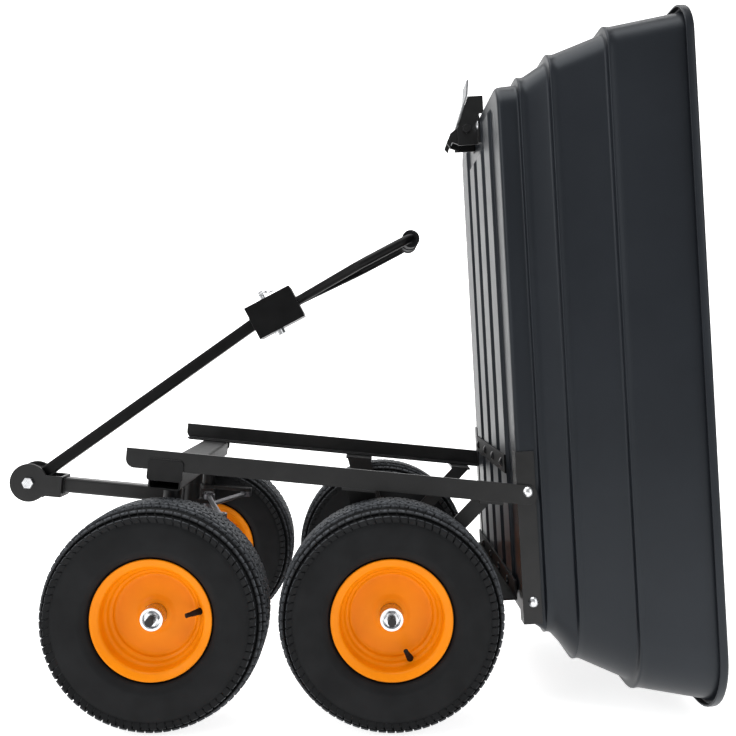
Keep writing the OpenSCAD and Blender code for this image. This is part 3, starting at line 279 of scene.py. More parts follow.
zinc = zinc_plate("zinc", bright=(0.80, 0.81, 0.82), dull=(0.56, 0.57, 0.59), rough=0.27)
dress(["hinge_bolts", "latch_spring", "chassis_nuts", "clevis_pin", "hitch_pin", "hitch_clip",
       "spindle_nut_left", "spindle_nut_right"] + [n for n in nodes if n.startswith("hub_")], zinc)
zinc_dull = zinc_plate("zinc_dull", bright=(0.17, 0.17, 0.18), dull=(0.09, 0.09, 0.10), rough=0.42)
dress(["tie_rod_pin", "tie_rod_left", "tie_rod_right"], zinc_dull)
zinc_strap = zinc_plate("zinc_strap", bright=(0.33, 0.34, 0.35), dull=(0.21, 0.215, 0.225), rough=0.42)
dress(["latch_handle"], zinc_strap)

# Tub bolts: carriage bolts through the side brackets, the latch base and the two cross bars under the floor.
# Those of the cross bars were sprayed black with the bars, on their outer heads only.
# The rest are bright zinc.
MM = 0.001
# Degrees by which the tipped tub stands short of upright, and the hinge's height over its outer floor in mm
TUB_LEAN, HINGE_UP = 3.1, 14
FLOOR_SLOPE, FLOOR_FACE = math.tan(math.radians(TUB_LEAN)), HINGE_UP * MM
# The cross bars' heads lie within this distance of the middle plane and below this height
BAR_HEAD_SIDE, BAR_HEAD_TOP = 0.20, 0.50
SPRAYED_HEAD = (0.016, 0.016, 0.017)


def math_node(tree, operation, a, b):
    node = add_node(tree, "ShaderNodeMath", {"operation": operation})
    for socket, value in zip(node.inputs, (a, b)):
        if isinstance(value, (int, float)):
            socket.default_value = value
        else:
            tree.links.new(value, socket)
    return node.outputs[0]


def bolt_plate(name):
    """Bright zinc, but black where a head stands on a cross bar, found by its place on the tub."""
    mat = zinc.copy()
    mat.name = name
    tree = mat.node_tree
    bsdf = tree.nodes["Principled BSDF"]
    plain = bsdf.inputs["Base Color"].links[0].from_socket
    split = tree.nodes.new("ShaderNodeSeparateXYZ")
    tree.links.new(object_place(tree), split.inputs[0])
    x, y, z = split.outputs
    ahead = math_node(tree, "SUBTRACT", x, math_node(tree, "MULTIPLY", z, FLOOR_SLOPE))
    under = math_node(tree, "GREATER_THAN", ahead, hinge_x + FLOOR_FACE - FLOOR_SLOPE * hinge_z)
    inner = math_node(tree, "LESS_THAN", math_node(tree, "ABSOLUTE", y, 0.0), BAR_HEAD_SIDE)
    low = math_node(tree, "LESS_THAN", z, BAR_HEAD_TOP)
    black = math_node(tree, "MULTIPLY", math_node(tree, "MULTIPLY", under, inner), low)
    tree.links.new(mix_colour(tree, black, plain, SPRAYED_HEAD), bsdf.inputs["Base Color"])
    return mat


dress(["tub_bolts"], bolt_plate("tub_bolt_zinc"))

# Tub: one rotomoulded polyethylene shell with stepped sides, a rolled rim and ribs pressed into its floor.
# The satin skin is blue-black, finely pebbled by the mould, with soft radii on every step.

# Sizes in mm in the tub's own frame, with X to its front end and Z up, from the hinge
HALF_FLOOR, FLOOR_FRONT, FLOOR_REAR, FLOOR_MARGIN, TUB_WALL = 245.5, 636.0, 198.0, 14, 4.5
BAND_TOP = [33, 77, 159, 269]
SIDE_LEAN, FRONT_LEAN, REAR_LEAN = [0, 13, 20, 11], [2, 19, 21, 14], [24, 41, 32, 22]
REAR_CORNER, FRONT_CORNER = [17, 60, 100, 95], 40
# Each band starts with a ledge and a lip, which fades over a short height to what is left of it
LEDGE, LIP, LIP_FADE, LIP_LEFT = 8, 2.2, 10, 0.8
RIM_OUT, RIM_H, RIM_SKIRT = 10, 13.5, 3.0
# How far each bend of the shell is cut back from its corner
FLOOR_BEND, STEP_BEND, LIP_BEND, FADE_BEND, INNER_BEND = 9, 4.5, 3.0, 5.0, 5.0
NECK_BEND, SKIRT_INNER_BEND, SKIRT_OUTER_BEND, RIM_BEND = 2.5, 1.2, 1.4, 5.0
MOST_OF_SIDE, BEND_STEPS, CORNER_STEPS = 0.48, 4, 12
SIDE_SHARES = (0.02, 0.06, 0.15, 0.3, 0.5, 0.7, 0.85, 0.94, 0.98)
RIB_W, RIB_PITCH, RIB_REAR, RIB_DEEP, RIB_WALL, RIB_RAMP, RIB_INSIDE = 60, 97, 178, 5.7, 2.4, 9.0, 5.0
RIB_FRONT = {-1.5: 614, -0.5: 572.4, 0.5: 572.4, 1.5: 614}
# Lines of the floor's grid: close together at the ends of the ribs and even between them
REAR_LINES = [-182, -178, -175, -172, -169, -164, -155]
FRONT_LINES = [560, 564, 567, 570, 573, 578, 586, 595, 602, 605, 608, 611, 614, 618]
MIDDLE_LINES, GRID_HALF, RIB_TOP_LINES, RIB_WALL_STEPS = 24, 190.0, [0, 10, 18], 6


def tub_station(band, top, height, out=0.0):
    """Height, half width, front reach, rear reach and corner radii of one level of the tub."""
    def reach(start, lean):
        return start + sum(lean[:band]) + band * LEDGE + (lean[band] if top else 0) + out
    return (height, reach(HALF_FLOOR, SIDE_LEAN), reach(FLOOR_FRONT, FRONT_LEAN),
            reach(FLOOR_REAR, REAR_LEAN), FRONT_CORNER + out, REAR_CORNER[band] + out)


def tub_profile():
    """Levels of the shell with their bends: up the outside, over the rim and down the inside."""
    last = len(BAND_TOP) - 1
    total = BAND_TOP[last] + RIM_H
    skirt = RIM_OUT - RIM_SKIRT
    path = [(tub_station(0, False, 0, -FLOOR_MARGIN), 0), (tub_station(0, False, 0), FLOOR_BEND)]
    for band, top in enumerate(BAND_TOP[:-1]):
        path += [(tub_station(band, True, top), STEP_BEND),
                 (tub_station(band + 1, False, top, LIP), LIP_BEND),
                 (tub_station(band + 1, False, top + LIP_FADE, LIP_LEFT), FADE_BEND)]
    path += [(tub_station(last, True, total - TUB_WALL), NECK_BEND),
             (tub_station(last, True, total - TUB_WALL, skirt), NECK_BEND),
             (tub_station(last, True, total - RIM_H, skirt), SKIRT_INNER_BEND),
             (tub_station(last, True, total - RIM_H, RIM_OUT), SKIRT_OUTER_BEND),
             (tub_station(last, True, total, RIM_OUT), RIM_BEND),
             (tub_station(last, True, total, -TUB_WALL), STEP_BEND)]
    for band in range(last, 0, -1):
        top = BAND_TOP[band - 1] + TUB_WALL
        path += [(tub_station(band, False, top, -TUB_WALL), INNER_BEND),
                 (tub_station(band - 1, True, top, -TUB_WALL), STEP_BEND)]
    path += [(tub_station(0, False, TUB_WALL, -TUB_WALL), FLOOR_BEND),
             (tub_station(0, False, TUB_WALL, -TUB_WALL - FLOOR_MARGIN), 0)]
    return path


def rounded(path):
    """A path of points, each with its own corner cut-back, with every corner turned into a short curve."""
    out = []
    for i, (point, cut) in enumerate(path):
        if i in (0, len(path) - 1) or cut == 0:
            out.append(point)
            continue
        ends = []
        for other in (path[i - 1][0], path[i + 1][0]):
            length = math.dist(point[:2], other[:2])
            part = min(MOST_OF_SIDE, cut / length) if length else MOST_OF_SIDE
            ends.append([p + (q - p) * part for p, q in zip(point, other)])
        for k in range(BEND_STEPS + 1):
            t = k / BEND_STEPS
            out.append(tuple((1 - t) ** 2 * a + 2 * t * (1 - t) * p + t * t * b
                             for a, p, b in zip(ends[0], point, ends[1])))
    return out


def tub_ring(station):
    """Plan outline of one level, counter-clockwise from above, with extra points beside each corner."""
    height, w, f, b, rf, rb = station
    centres = [(f - rf, w - rf, rf, 0), (rb - b, w - rb, rb, 90),
               (rb - b, rb - w, rb, 180), (f - rf, rf - w, rf, 270)]
    ring = []
    for i, (cx, cy, r, start) in enumerate(centres):
        for k in range(CORNER_STEPS + 1):
            a = math.radians(start + 90 * k / CORNER_STEPS)
            ring.append((cx + r * math.cos(a), cy + r * math.sin(a)))
        nx, ny, nr, nstart = centres[(i + 1) % 4]
        a = math.radians(nstart)
        p, q = ring[-1], (nx + nr * math.cos(a), ny + nr * math.sin(a))
        ring += [(p[0] + (q[0] - p[0]) * t, p[1] + (q[1] - p[1]) * t) for t in SIDE_SHARES]
    return [(x, y, height - HINGE_UP) for x, y in ring]


def bridge(bm, low, high):
    """Faces between two closed rows of points."""
    for j in range(len(low)):
        k = (j + 1) % len(low)
        bm.faces.new((low[j], low[k], high[k], high[j]))


def smooth_step(v, low, high):
    t = min(1.0, max(0.0, (v - low) / (high - low)))
    return t * t * (3 - 2 * t)


def rib_depth(x, y, narrow):
    """Depth of the floor's ribs at a point; inside the tub they are narrower and shorter by the wall."""
    deepest = 0.0
    for k, front in RIB_FRONT.items():
        ends = smooth_step(x + RIB_REAR - narrow, 0.0, RIB_RAMP)
        ends *= smooth_step(front - narrow - x, 0.0, RIB_RAMP)
        across = smooth_step(RIB_W / 2 - narrow - abs(y - k * RIB_PITCH), 0.0, RIB_WALL)
        deepest = max(deepest, RIB_DEEP * ends * across)
    return deepest


def floor_lines():
    """Places of the floor grid's lines along the tub and across it."""
    span = FRONT_LINES[0] - REAR_LINES[-1]
    xs = REAR_LINES + [REAR_LINES[-1] + span * k / MIDDLE_LINES for k in range(1, MIDDLE_LINES)] + FRONT_LINES
    across = RIB_TOP_LINES + [RIB_W / 2 - narrow - RIB_WALL * k / RIB_WALL_STEPS
                              for narrow in (0, RIB_INSIDE) for k in range(-1, RIB_WALL_STEPS + 2)]
    ys = {-GRID_HALF, GRID_HALF} | {k * RIB_PITCH for k in (-1.0, 0.0, 1.0)}
    ys |= {round(k * RIB_PITCH + s * v, 3) for k in RIB_FRONT for s in (-1, 1) for v in across}
    return xs, sorted(ys)


def tub_floor(bm, row, base, narrow):
    """One face of the floor: a ribbed grid in the middle, joined to the ring of the wall round it."""
    xs, ys = floor_lines()
    grid = [[bm.verts.new((x, y, base - HINGE_UP - rib_depth(x, y, narrow))) for y in ys] for x in xs]
    for a, b in zip(grid, grid[1:]):
        for j in range(len(ys) - 1):
            bm.faces.new((a[j], a[j + 1], b[j + 1], b[j]))
    edge = grid[0] + [r[-1] for r in grid[1:]] + grid[-1][-2::-1] + [r[0] for r in grid[-2:0:-1]]
    loops = [bm.edges.get((ring[j], ring[(j + 1) % len(ring)]))
             for ring in (row, edge) for j in range(len(ring))]
    bmesh.ops.triangle_fill(bm, use_beauty=True, edges=loops)


def mm_frame(origin, turn, axis):
    """From a piece's own millimetres to the cart's metres: turned by degrees about one axis, then moved."""
    return Matrix.Translation(origin) @ Matrix.Rotation(math.radians(turn), 4, axis) @ Matrix.Scale(MM, 4)


def finish_mesh(name, bm, mat, smooth_angle):
    bmesh.ops.recalc_face_normals(bm, faces=bm.faces[:])
    mesh = bpy.data.meshes.new(name)
    bm.to_mesh(mesh)
    bm.free()
    shade_smooth(mesh)
    mesh.set_sharp_from_angle(angle=math.radians(smooth_angle))
    mesh.materials.append(mat)
    return add_object(name, mesh)


def moulded_poly(name, dark, pale, tint):
    mat, tree, bsdf = new_material(name)
    place = object_place(tree)
    tone = ramp(tree, noise(tree, place, scale=5, detail=4), [(0.3, dark), (0.72, pale)])
    tree.links.new(tone, bsdf.inputs["Base Color"])
    sheen = noise(tree, place, scale=14, detail=5)
    tree.links.new(value_range(tree, sheen, low=0.30, high=0.42), bsdf.inputs["Roughness"])
    pebble = add_node(tree, "ShaderNodeTexVoronoi", Scale=620.0)
    tree.links.new(place, pebble.inputs["Vector"])
    add_bump(tree, bsdf, pebble.outputs["Distance"], strength=0.10, distance=0.0005)
    set_inputs(bsdf, Specular_IOR_Level=0.31, Specular_Tint=(*tint, 1))
    return mat


tub_skin = moulded_poly("tub_skin", dark=(0.0070, 0.0084, 0.0110), pale=(0.0108, 0.0127, 0.0164),
                        tint=(0.88, 0.94, 1.0))
bm = bmesh.new()
rows = [[bm.verts.new(p) for p in tub_ring(station)] for station in rounded(tub_profile())]
for low, high in zip(rows, rows[1:]):
    bridge(bm, low, high)
tub_floor(bm, rows[0], base=0.0, narrow=0.0)
tub_floor(bm, rows[-1], base=TUB_WALL, narrow=RIB_INSIDE)
bm.transform(mm_frame(pivot("tub_tip"), TUB_LEAN - 90, "Y"))
tub = finish_mesh("tub_shell", bm, tub_skin, smooth_angle=50)
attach(tub, "tub")
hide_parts("tub")

# Tyres: four turf tyres of black rubber, with a smooth sidewall and blocks moulded round the crown.
# The block rows are repeated round the axle by a node tree, so that one lug shape serves a whole row.
# The tops of the blocks are paler, partly scuffed and dusty and partly a painted highlight.
TYRE_HALF, RIM_R, BEAD_SINK, CARCASS_R, SQUARE = 63.5, 91.0, 8, 167.3, 0.62
CARCASS_MID, CARCASS_HIGH = (CARCASS_R + RIM_R - BEAD_SINK) / 2, (CARCASS_R - RIM_R + BEAD_SINK) / 2
# The outer curve runs over these degrees of the squared-off section, from one bead to the other
SECTION_START, SECTION_SWEEP, SECTION_STEPS, SPIN_STEPS = -36, 252, 44, 120
# Half of the section's inside, from the bead's edge to the crown, as radius and place along the axle
TYRE_INSIDE = [(93, 46.5), (89, 44.7), (80.3, 44.7), (80.3, 35.7), (98, 42), (122, 50), (150, 42)]
INSIDE_CROWN_R = 156
# Raised sidewall rings, at the bead and at the shoulder: radius, height and width, and where the sidewall is
SIDE_RINGS = [(105, 1.1, 2.2), (143, 0.9, 2.5)]
SIDEWALL_Y, SIDEWALL_R = 45, 97
LUG_COUNT, LUG_TAPER, LUG_BEVEL, TYRE_CREASE = 78, 0.92, 0.6, 40
# Rows of blocks from the crown out: length round the tyre, width, height, root, slant on the outward and on
# the inward half of the tread, place along the axle, and share of a pitch by which the outward row is turned
TREAD_ROWS = {
    "inner_lug": (12.2, 11.8, 2.5, 3, 0.30, -0.30, 6.6, 0.0),
    "middle_lug": (12.2, 11.8, 2.5, 3, -0.30, 0.30, 19.6, 0.5),
    "outer_lug": (12.0, 11.6, 2.4, 3, 0.30, -0.30, 32.6, 0.0),
    "shoulder_lug": (11.8, 13.4, 1.4, 4, -0.20, -0.20, 48.5, 0.5),
    "side_lug": (10.6, 14.0, 0.6, 4, 0.25, 0.25, 59.2, 0.0)}
WHEELS = [("front_left", 1), ("front_right", -1), ("rear_left", 1), ("rear_right", -1)]
DARK_RUBBER, PALE_RUBBER = (0.0040, 0.0044, 0.0050), (0.0084, 0.0090, 0.0100)
# Pale colour for the block tops: scuffs and dust, and a painted highlight
LUG_TOP_SCUFF_AND_HIGHLIGHT = (0.100, 0.107, 0.118)


def rubber_skin(name, rough):
    mat, tree, bsdf = new_material(name)
    place = object_place(tree)
    dust = ramp(tree, noise(tree, place, scale=26, detail=6), [(0.35, DARK_RUBBER), (0.8, PALE_RUBBER)])
    # The block tops are mixed in patches towards a paler colour: scuffs and dust, and a painted highlight
    # where light catches them
    lug_top = add_node(tree, "ShaderNodeAttribute", {"attribute_name": "tread_top"})
    scuff_and_highlight_patches = noise(tree, place, scale=240, detail=5)
    scuff_and_highlight_patches = value_range(tree, scuff_and_highlight_patches, low=0.25, high=1.0, start=0.35, stop=0.65)
    scuff_and_highlight = math_node(tree, "MULTIPLY", lug_top.outputs["Fac"], scuff_and_highlight_patches)
    tree.links.new(mix_colour(tree, scuff_and_highlight, dust, LUG_TOP_SCUFF_AND_HIGHLIGHT), bsdf.inputs["Base Color"])
    sheen = noise(tree, place, scale=60, detail=4)
    tree.links.new(value_range(tree, sheen, rough - 0.08, rough + 0.1), bsdf.inputs["Roughness"])
    add_bump(tree, bsdf, noise(tree, place, scale=700, detail=3), strength=0.14, distance=0.0006)
    set_inputs(bsdf, Specular_IOR_Level=0.16)
    return mat


def revolve(bm, section):
    """Spins a closed section of (radius, along) points about Z into faces."""
    turns = [2 * math.pi * k / SPIN_STEPS for k in range(SPIN_STEPS)]
    rows = [[bm.verts.new((r * math.cos(a), r * math.sin(a), y)) for a in turns] for r, y in section]
    for low, high in zip(rows, rows[1:] + rows[:1]):
        bridge(bm, low, high)


def flat_power(v, e):
    return math.copysign(abs(v) ** e, v)


def tyre_section():
    points = []
    for k in range(SECTION_STEPS + 1):
        a = math.radians(SECTION_START + SECTION_SWEEP * k / SECTION_STEPS)
        points.append((CARCASS_MID + CARCASS_HIGH * flat_power(math.sin(a), SQUARE),
                       TYRE_HALF * flat_power(math.cos(a), SQUARE)))
    points += [(r, -y) for r, y in TYRE_INSIDE] + [(INSIDE_CROWN_R, 0)] + TYRE_INSIDE[::-1]
    shaped = []
    for r, y in points:
        lift = sum(high * math.exp(-((r - at) / wide) ** 2) for at, high, wide in SIDE_RINGS)
        on_side = abs(y) > SIDEWALL_Y and r > SIDEWALL_R
        shaped.append((r, y + math.copysign(lift, y) if on_side else y))
    return shaped


def lug_object(name, length, width, height, root, slant):
    """One tread block about the origin: X out from the axle, Y round the tyre, Z along the axle."""
    bm = bmesh.new()
    bmesh.ops.create_cube(bm, size=1)
    for v in bm.verts:
        top = v.co.x > 0
        taper = LUG_TAPER if top else 1.0
        v.co = Vector((height if top else -root, v.co.y * length * taper, v.co.z * width * taper))
        v.co.y += slant * v.co.z
    bmesh.ops.bevel(bm, geom=bm.edges[:], offset=LUG_BEVEL, segments=1, affect="EDGES")
    mesh = bpy.data.meshes.new(name)
    bm.to_mesh(mesh)
    bm.free()
    top = mesh.attributes.new("tread_top", "FLOAT", "POINT")
    top.data.foreach_set("value", [1.0 if v.co.x > 0 else 0.0 for v in mesh.vertices])
    return bpy.data.objects.new(name, mesh)


def tread_row(block, along, phase):
    """A row on the carcass's curve: its radius and the tilt of the surface there."""
    def radius(y):
        return CARCASS_MID + CARCASS_HIGH * (1 - (abs(y) / TYRE_HALF) ** (2 / SQUARE)) ** (SQUARE / 2)
    tilt = math.atan2(radius(along - 1) - radius(along + 1), 2)
    return block, radius(along), along, phase, tilt


def start_tree(name, inputs):
    """A geometry tree with named inputs of the kinds given, its input node, and the inputs' identifiers."""
    tree = bpy.data.node_groups.new(name, "GeometryNodeTree")
    tree.interface.new_socket("Geometry", in_out="OUTPUT", socket_type="NodeSocketGeometry")
    ids = {}
    for label, kind in inputs.items():
        socket = tree.interface.new_socket(label, in_out="INPUT", socket_type="NodeSocket" + kind)
        ids[label] = socket.identifier
    return tree, tree.nodes.new("NodeGroupInput"), ids


def end_tree(tree, geometry):
    """Realizes a tree's geometry, dyes it and sends it out; returns the socket for the material."""
    real = tree.nodes.new("GeometryNodeRealizeInstances")
    dye = tree.nodes.new("GeometryNodeSetMaterial")
    out = tree.nodes.new("NodeGroupOutput")
    tree.links.new(geometry, real.inputs["Geometry"])
    tree.links.new(real.outputs["Geometry"], dye.inputs["Geometry"])
    tree.links.new(dye.outputs["Geometry"], out.inputs["Geometry"])
    return dye.inputs["Material"]


def tread_tree(rows, mat):
    """Rows of blocks round Z: each row is (block, radius, along, share of a pitch, tilt)."""
    tree, into, ids = start_tree("tread_rows", {"Carcass": "Geometry", "Blocks in a row": "Int"})
    count = into.outputs["Blocks in a row"]
    join = tree.nodes.new("GeometryNodeJoinGeometry")
    for block, radius, along, phase, tilt in rows:
        ring = add_node(tree, "GeometryNodeMeshCircle", Radius=radius)
        tree.links.new(count, ring.inputs["Vertices"])
        shape = add_node(tree, "GeometryNodeObjectInfo", Object=block)
        index = tree.nodes.new("GeometryNodeInputIndex")
        share = math_node(tree, "DIVIDE", index.outputs["Index"], count)
        spin = add_node(tree, "ShaderNodeCombineXYZ", Y=tilt)
        tree.links.new(math_node(tree, "MULTIPLY", share, 2 * math.pi), spin.inputs["Z"])
        put = tree.nodes.new("GeometryNodeInstanceOnPoints")
        tree.links.new(ring.outputs["Mesh"], put.inputs["Points"])
        tree.links.new(shape.outputs["Geometry"], put.inputs["Instance"])
        tree.links.new(spin.outputs["Vector"], put.inputs["Rotation"])
        place = add_node(tree, "GeometryNodeTransform", Translation=(0, 0, along),
                         Rotation=(0, 0, 2 * math.pi * phase / LUG_COUNT))
        tree.links.new(put.outputs["Instances"], place.inputs["Geometry"])
        tree.links.new(place.outputs["Geometry"], join.inputs["Geometry"])
    tree.links.new(into.outputs["Carcass"], join.inputs["Geometry"])
    end_tree(tree, join.outputs["Geometry"]).default_value = mat
    return tree, ids["Blocks in a row"]


def grown(piece, tree, inputs):
    """The piece's mesh with the node tree applied, and the piece removed."""
    modifier = piece.modifiers.new("grow", "NODES")
    modifier.node_group = tree
    for key, value in inputs.items():
        modifier[key] = value
    bpy.context.view_layer.update()
    mesh = bpy.data.meshes.new_from_object(piece.evaluated_get(bpy.context.evaluated_depsgraph_get()))
    piece.modifiers.remove(modifier)
    bpy.data.objects.remove(piece)
    return mesh


def wheel_frame(wheel, side):
    return mm_frame(pivot("wheel_spin_" + wheel), -90 * side, "X")


tyre_rubber = rubber_skin("tyre_rubber", rough=0.62)
tread_rows = []
for name, (length, width, height, root, slant, inward_slant, along, phase) in TREAD_ROWS.items():
    outward_lug = lug_object(name, length, width, height, root, slant)
    inward_lug = lug_object(name + "_back", length, width, height, root, inward_slant)
    tread_rows += [tread_row(outward_lug, along, phase), tread_row(inward_lug, -along, 0.5 - phase)]
tread, tread_count_id = tread_tree(tread_rows, tyre_rubber)
bm = bmesh.new()
revolve(bm, tyre_section())
carcass = finish_mesh("carcass", bm, tyre_rubber, smooth_angle=TYRE_CREASE)
tyre_mesh = grown(carcass, tread, {tread_count_id: LUG_COUNT})
tyre_mesh.set_sharp_from_angle(angle=math.radians(TYRE_CREASE))
for wheel, side in WHEELS:
    mesh = tyre_mesh.copy()
    mesh.transform(wheel_frame(wheel, side))
    tyre = add_object("turf_tyre_" + wheel, mesh)
    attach(tyre, "wheel_" + wheel)
    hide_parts("tyre_" + wheel)

# Rims: two pressed steel halves with a rolled flange and a dished centre disc, painted orange.
# The paint is semi-gloss and a little uneven in tone.

# Section of a rim, as (radius, along) points with the cut of each bend: the well under the tyre, the inner
# flange and its inside, the disc's back, the bore, the disc's face and the stepped slope to the outer flange
RIM_SECTION = [
    ((91, 52), 2.0), ((91, 48.5), 1.5), ((80, 45), 3), ((80, 40), 0), ((79, 30), 4), ((67, 18), 5),
    ((67, -18), 5), ((79, -30), 4), ((80, -40), 0), ((80, -45), 3), ((91, -48.5), 1.5), ((91, -52), 2.0),
    ((88, -52), 2.0), ((77.5, -47), 3), ((76, -31), 4), ((64, -19), 4), ((64, 9), 3), ((59, 9), 3),
    ((29, 11), 3), ((23, 14), 2), ((17.1, 14), 0.4), ((17.1, 17), 0.4), ((23, 17), 2), ((29, 14), 3),
    ((59, 12), 3), ((63, 14), 2.5), ((64, 19), 2.5), ((69, 21.5), 2), ((71, 27), 2), ((76, 31), 3.5),
    ((77.5, 47), 4), ((88, 52), 2.0)]


def rim_paint(name, deep, light):
    mat, tree, bsdf = new_material(name)
    place = object_place(tree)
    tone = ramp(tree, noise(tree, place, scale=22, detail=4), [(0.3, deep), (0.75, light)])
    tree.links.new(tone, bsdf.inputs["Base Color"])
    sheen = noise(tree, place, scale=70, detail=4)
    tree.links.new(value_range(tree, sheen, low=0.30, high=0.44), bsdf.inputs["Roughness"])
    add_bump(tree, bsdf, noise(tree, place, scale=500, detail=2), strength=0.08, distance=0.0006)
    set_inputs(bsdf, Specular_IOR_Level=0.14)
    return mat


rim_orange = rim_paint("rim_orange", deep=(0.76, 0.212, 0.0008), light=(0.84, 0.242, 0.0012))
rim_curve = rounded(RIM_SECTION[-1:] + RIM_SECTION + RIM_SECTION[:1])[1:-1]
for wheel, side in WHEELS:
    bm = bmesh.new()
    revolve(bm, rim_curve)
    bm.transform(wheel_frame(wheel, side))
    rim = finish_mesh("pressed_rim_" + wheel, bm, rim_orange, smooth_angle=35)
    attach(rim, "wheel_" + wheel)
    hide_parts("rim_" + wheel)

# Valve stems and handle grip: small black rubber mouldings.
# The stems stand on the rim's slope; the grip is slipped over the handle's cross tube.
small_rubber = rubber_skin("small_rubber", rough=0.55)
dress(["valve_" + wheel for wheel, _ in WHEELS] + ["handle_grip"], small_rubber)

# Weld beads: runs of weld where tubes, plates and collars meet, each under the coat of the steel it joins.
# Each run is a line of small overlapping ripples that a node tree lays along its seam.
RAIL_SLOPE, RAIL_OUT, KINGPIN_X, KINGPIN_Y, UPRIGHT_Y = 5.4, 251.8, 559.44, 174.0, 188.0
DRAWBAR_Z, CLEVIS_BACK, PULL_RISE, PULL_LEN, SOCKET_BEND = -98.0, 788.0, 35.4, 491.0, 7.5
AXLE_HALF, DRAWBAR_HALF, PULL_HALF = 15, 13, 10.5
# The beads' size, and how far their middle stands off a tube's face and off the cross-member's end tabs
BEAD_R, RIPPLE_STEP, BEAD_OFF, TAB_BEAD_OFF = 1.7, 1.8, 0.8, 0.9
RIPPLE_LEAST, RIPPLE_MOST, RIPPLE_SEED = (0.88, 0.88, 0.60), (1.06, 1.06, 0.80), 7
COLLAR_Z, CENTRE_COLLAR_R, SIDE_COLLAR_R, COLLAR_STEPS = -51.0, 21.0, 16.0, 30
TAB_HALF, TAB_Z = 22, -3.2
# Rounded ends that a tube is notched to: the beads' radius, and the degrees to each side that they reach
HEAD_R, HEAD_REACH, HEAD_STEPS = 17.7, 50, 10
HUB_R, HUB_REACH, HUB_STEPS = 28.7, 23, 4


def weld_tree():
    tree, into, ids = start_tree("weld_ripples", {"Seam": "Geometry", "Bead radius": "Float",
                                                  "Ripple step": "Float", "Coat": "Material"})
    curve = tree.nodes.new("GeometryNodeMeshToCurve")
    tree.links.new(into.outputs["Seam"], curve.inputs["Mesh"])
    spaced = add_node(tree, "GeometryNodeResampleCurve", {"mode": "LENGTH"})
    tree.links.new(curve.outputs["Curve"], spaced.inputs["Curve"])
    tree.links.new(into.outputs["Ripple step"], spaced.inputs["Length"])
    ripple = add_node(tree, "GeometryNodeMeshIcoSphere", Subdivisions=2)
    tree.links.new(into.outputs["Bead radius"], ripple.inputs["Radius"])
    way = tree.nodes.new("GeometryNodeInputTangent")
    facing = add_node(tree, "FunctionNodeAlignRotationToVector", {"axis": "Z"})
    tree.links.new(way.outputs["Tangent"], facing.inputs["Vector"])
    size = add_node(tree, "FunctionNodeRandomValue", {"data_type": "FLOAT_VECTOR"}, Seed=RIPPLE_SEED)
    size.inputs[0].default_value = RIPPLE_LEAST
    size.inputs[1].default_value = RIPPLE_MOST
    put = tree.nodes.new("GeometryNodeInstanceOnPoints")
    tree.links.new(spaced.outputs["Curve"], put.inputs["Points"])
    tree.links.new(ripple.outputs["Mesh"], put.inputs["Instance"])
    tree.links.new(facing.outputs["Rotation"], put.inputs["Rotation"])
    tree.links.new(size.outputs[0], put.inputs["Scale"])
    tree.links.new(into.outputs["Coat"], end_tree(tree, put.outputs["Instances"]))
    return tree, ids


def ring_seam(y, r):
    """Round a collar of the front cross-member."""
    turns = [2 * math.pi * k / COLLAR_STEPS for k in range(COLLAR_STEPS)]
    return [(KINGPIN_X + r * math.cos(a), y + r * math.sin(a), COLLAR_Z) for a in turns]


def box_seam(x, half, z=0.0):
    """Round the end of a square tube that runs along X."""
    return [(x, -half, z - half), (x, half, z - half), (x, half, z + half), (x, -half, z + half)]


def end_arc(radius, reach, steps):
    turns = [math.radians(-reach + 2 * reach * k / steps) for k in range(steps + 1)]
    return [(radius * math.cos(a), radius * math.sin(a)) for a in turns]


def weld_run(name, body, seams, mat):
    """One mesh of beads for a body: each seam is a frame, its points in mm and whether it closes."""
    seam_mesh = bpy.data.meshes.new(name + "_seam")
    points, edges = [], []
    for place, run, closed in seams:
        first = len(points)
        points += [place @ Vector(p) for p in run]
        edges += [(first + k, first + k + 1) for k in range(len(run) - 1)]
        edges += [(len(points) - 1, first)] if closed else []
    seam_mesh.from_pydata(points, edges, [])
    seam = add_object(name + "_seam", seam_mesh)
    mesh = grown(seam, weld_ripples, {weld_ids["Bead radius"]: BEAD_R * MM,
                                      weld_ids["Ripple step"]: RIPPLE_STEP * MM, weld_ids["Coat"]: mat})
    shade_smooth(mesh)
    bead = add_object(name, mesh)
    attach(bead, body)


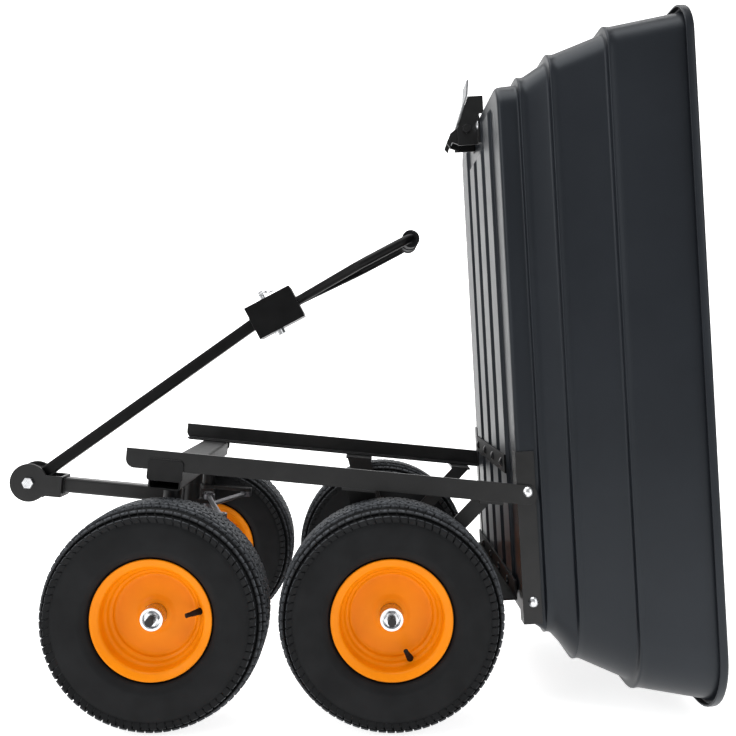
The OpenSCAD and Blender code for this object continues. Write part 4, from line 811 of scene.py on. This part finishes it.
weld_ripples, weld_ids = weld_tree()
rail_frame = mm_frame(pivot("tub_tip"), -RAIL_SLOPE, "Y")
axle_x, _, axle_z = pivot("wheel_spin_rear_left")
axle_frame = mm_frame((axle_x, 0, axle_z), 90, "Z")
pull_frame = mm_frame(pivot("handle_pitch"), PULL_RISE - 180, "Y")
socket_turn = Matrix.Rotation(math.radians(-SOCKET_BEND), 4, "Y")
socket_frame = pull_frame @ Matrix.Translation((PULL_LEN, 0, 0)) @ socket_turn

chassis_seams = [(rail_frame, ring_seam(0, CENTRE_COLLAR_R), True)]
for side in (-1, 1):
    tab_y = side * (RAIL_OUT + TAB_BEAD_OFF)
    chassis_seams += [
        (rail_frame, ring_seam(side * KINGPIN_Y, SIDE_COLLAR_R), True),
        (rail_frame, [(KINGPIN_X + x, tab_y, TAB_Z) for x in (-TAB_HALF, 0, TAB_HALF)], False),
        (axle_frame, box_seam(side * (UPRIGHT_Y + BEAD_OFF), AXLE_HALF + BEAD_OFF), True)]
weld_run("chassis_welds", "chassis", chassis_seams, steel_black)

drawbar_bead = DRAWBAR_HALF + BEAD_OFF
head_arc = [(KINGPIN_X + x, y) for x, y in end_arc(HEAD_R, HEAD_REACH, HEAD_STEPS)]
head_loop = [(x, y, DRAWBAR_Z + drawbar_bead) for x, y in head_arc]
head_loop += [(x, y, DRAWBAR_Z - drawbar_bead) for x, y in head_arc[::-1]]
clevis_loop = box_seam(CLEVIS_BACK - BEAD_OFF, drawbar_bead, DRAWBAR_Z)
drawbar_seams = [(rail_frame, clevis_loop, True), (rail_frame, head_loop, True)]
weld_run("drawbar_welds", "drawbar", drawbar_seams, steel_black)

pull_bead = PULL_HALF + BEAD_OFF
hub_arc = end_arc(HUB_R, HUB_REACH, HUB_STEPS)
hub_loop = [(x, pull_bead, z) for x, z in hub_arc] + [(x, -pull_bead, z) for x, z in hub_arc[::-1]]
handle_seams = [(pull_frame, hub_loop, True), (socket_frame, box_seam(-BEAD_OFF, pull_bead), True)]
weld_run("pull_handle_welds", "pull_handle", handle_seams, handle_black)
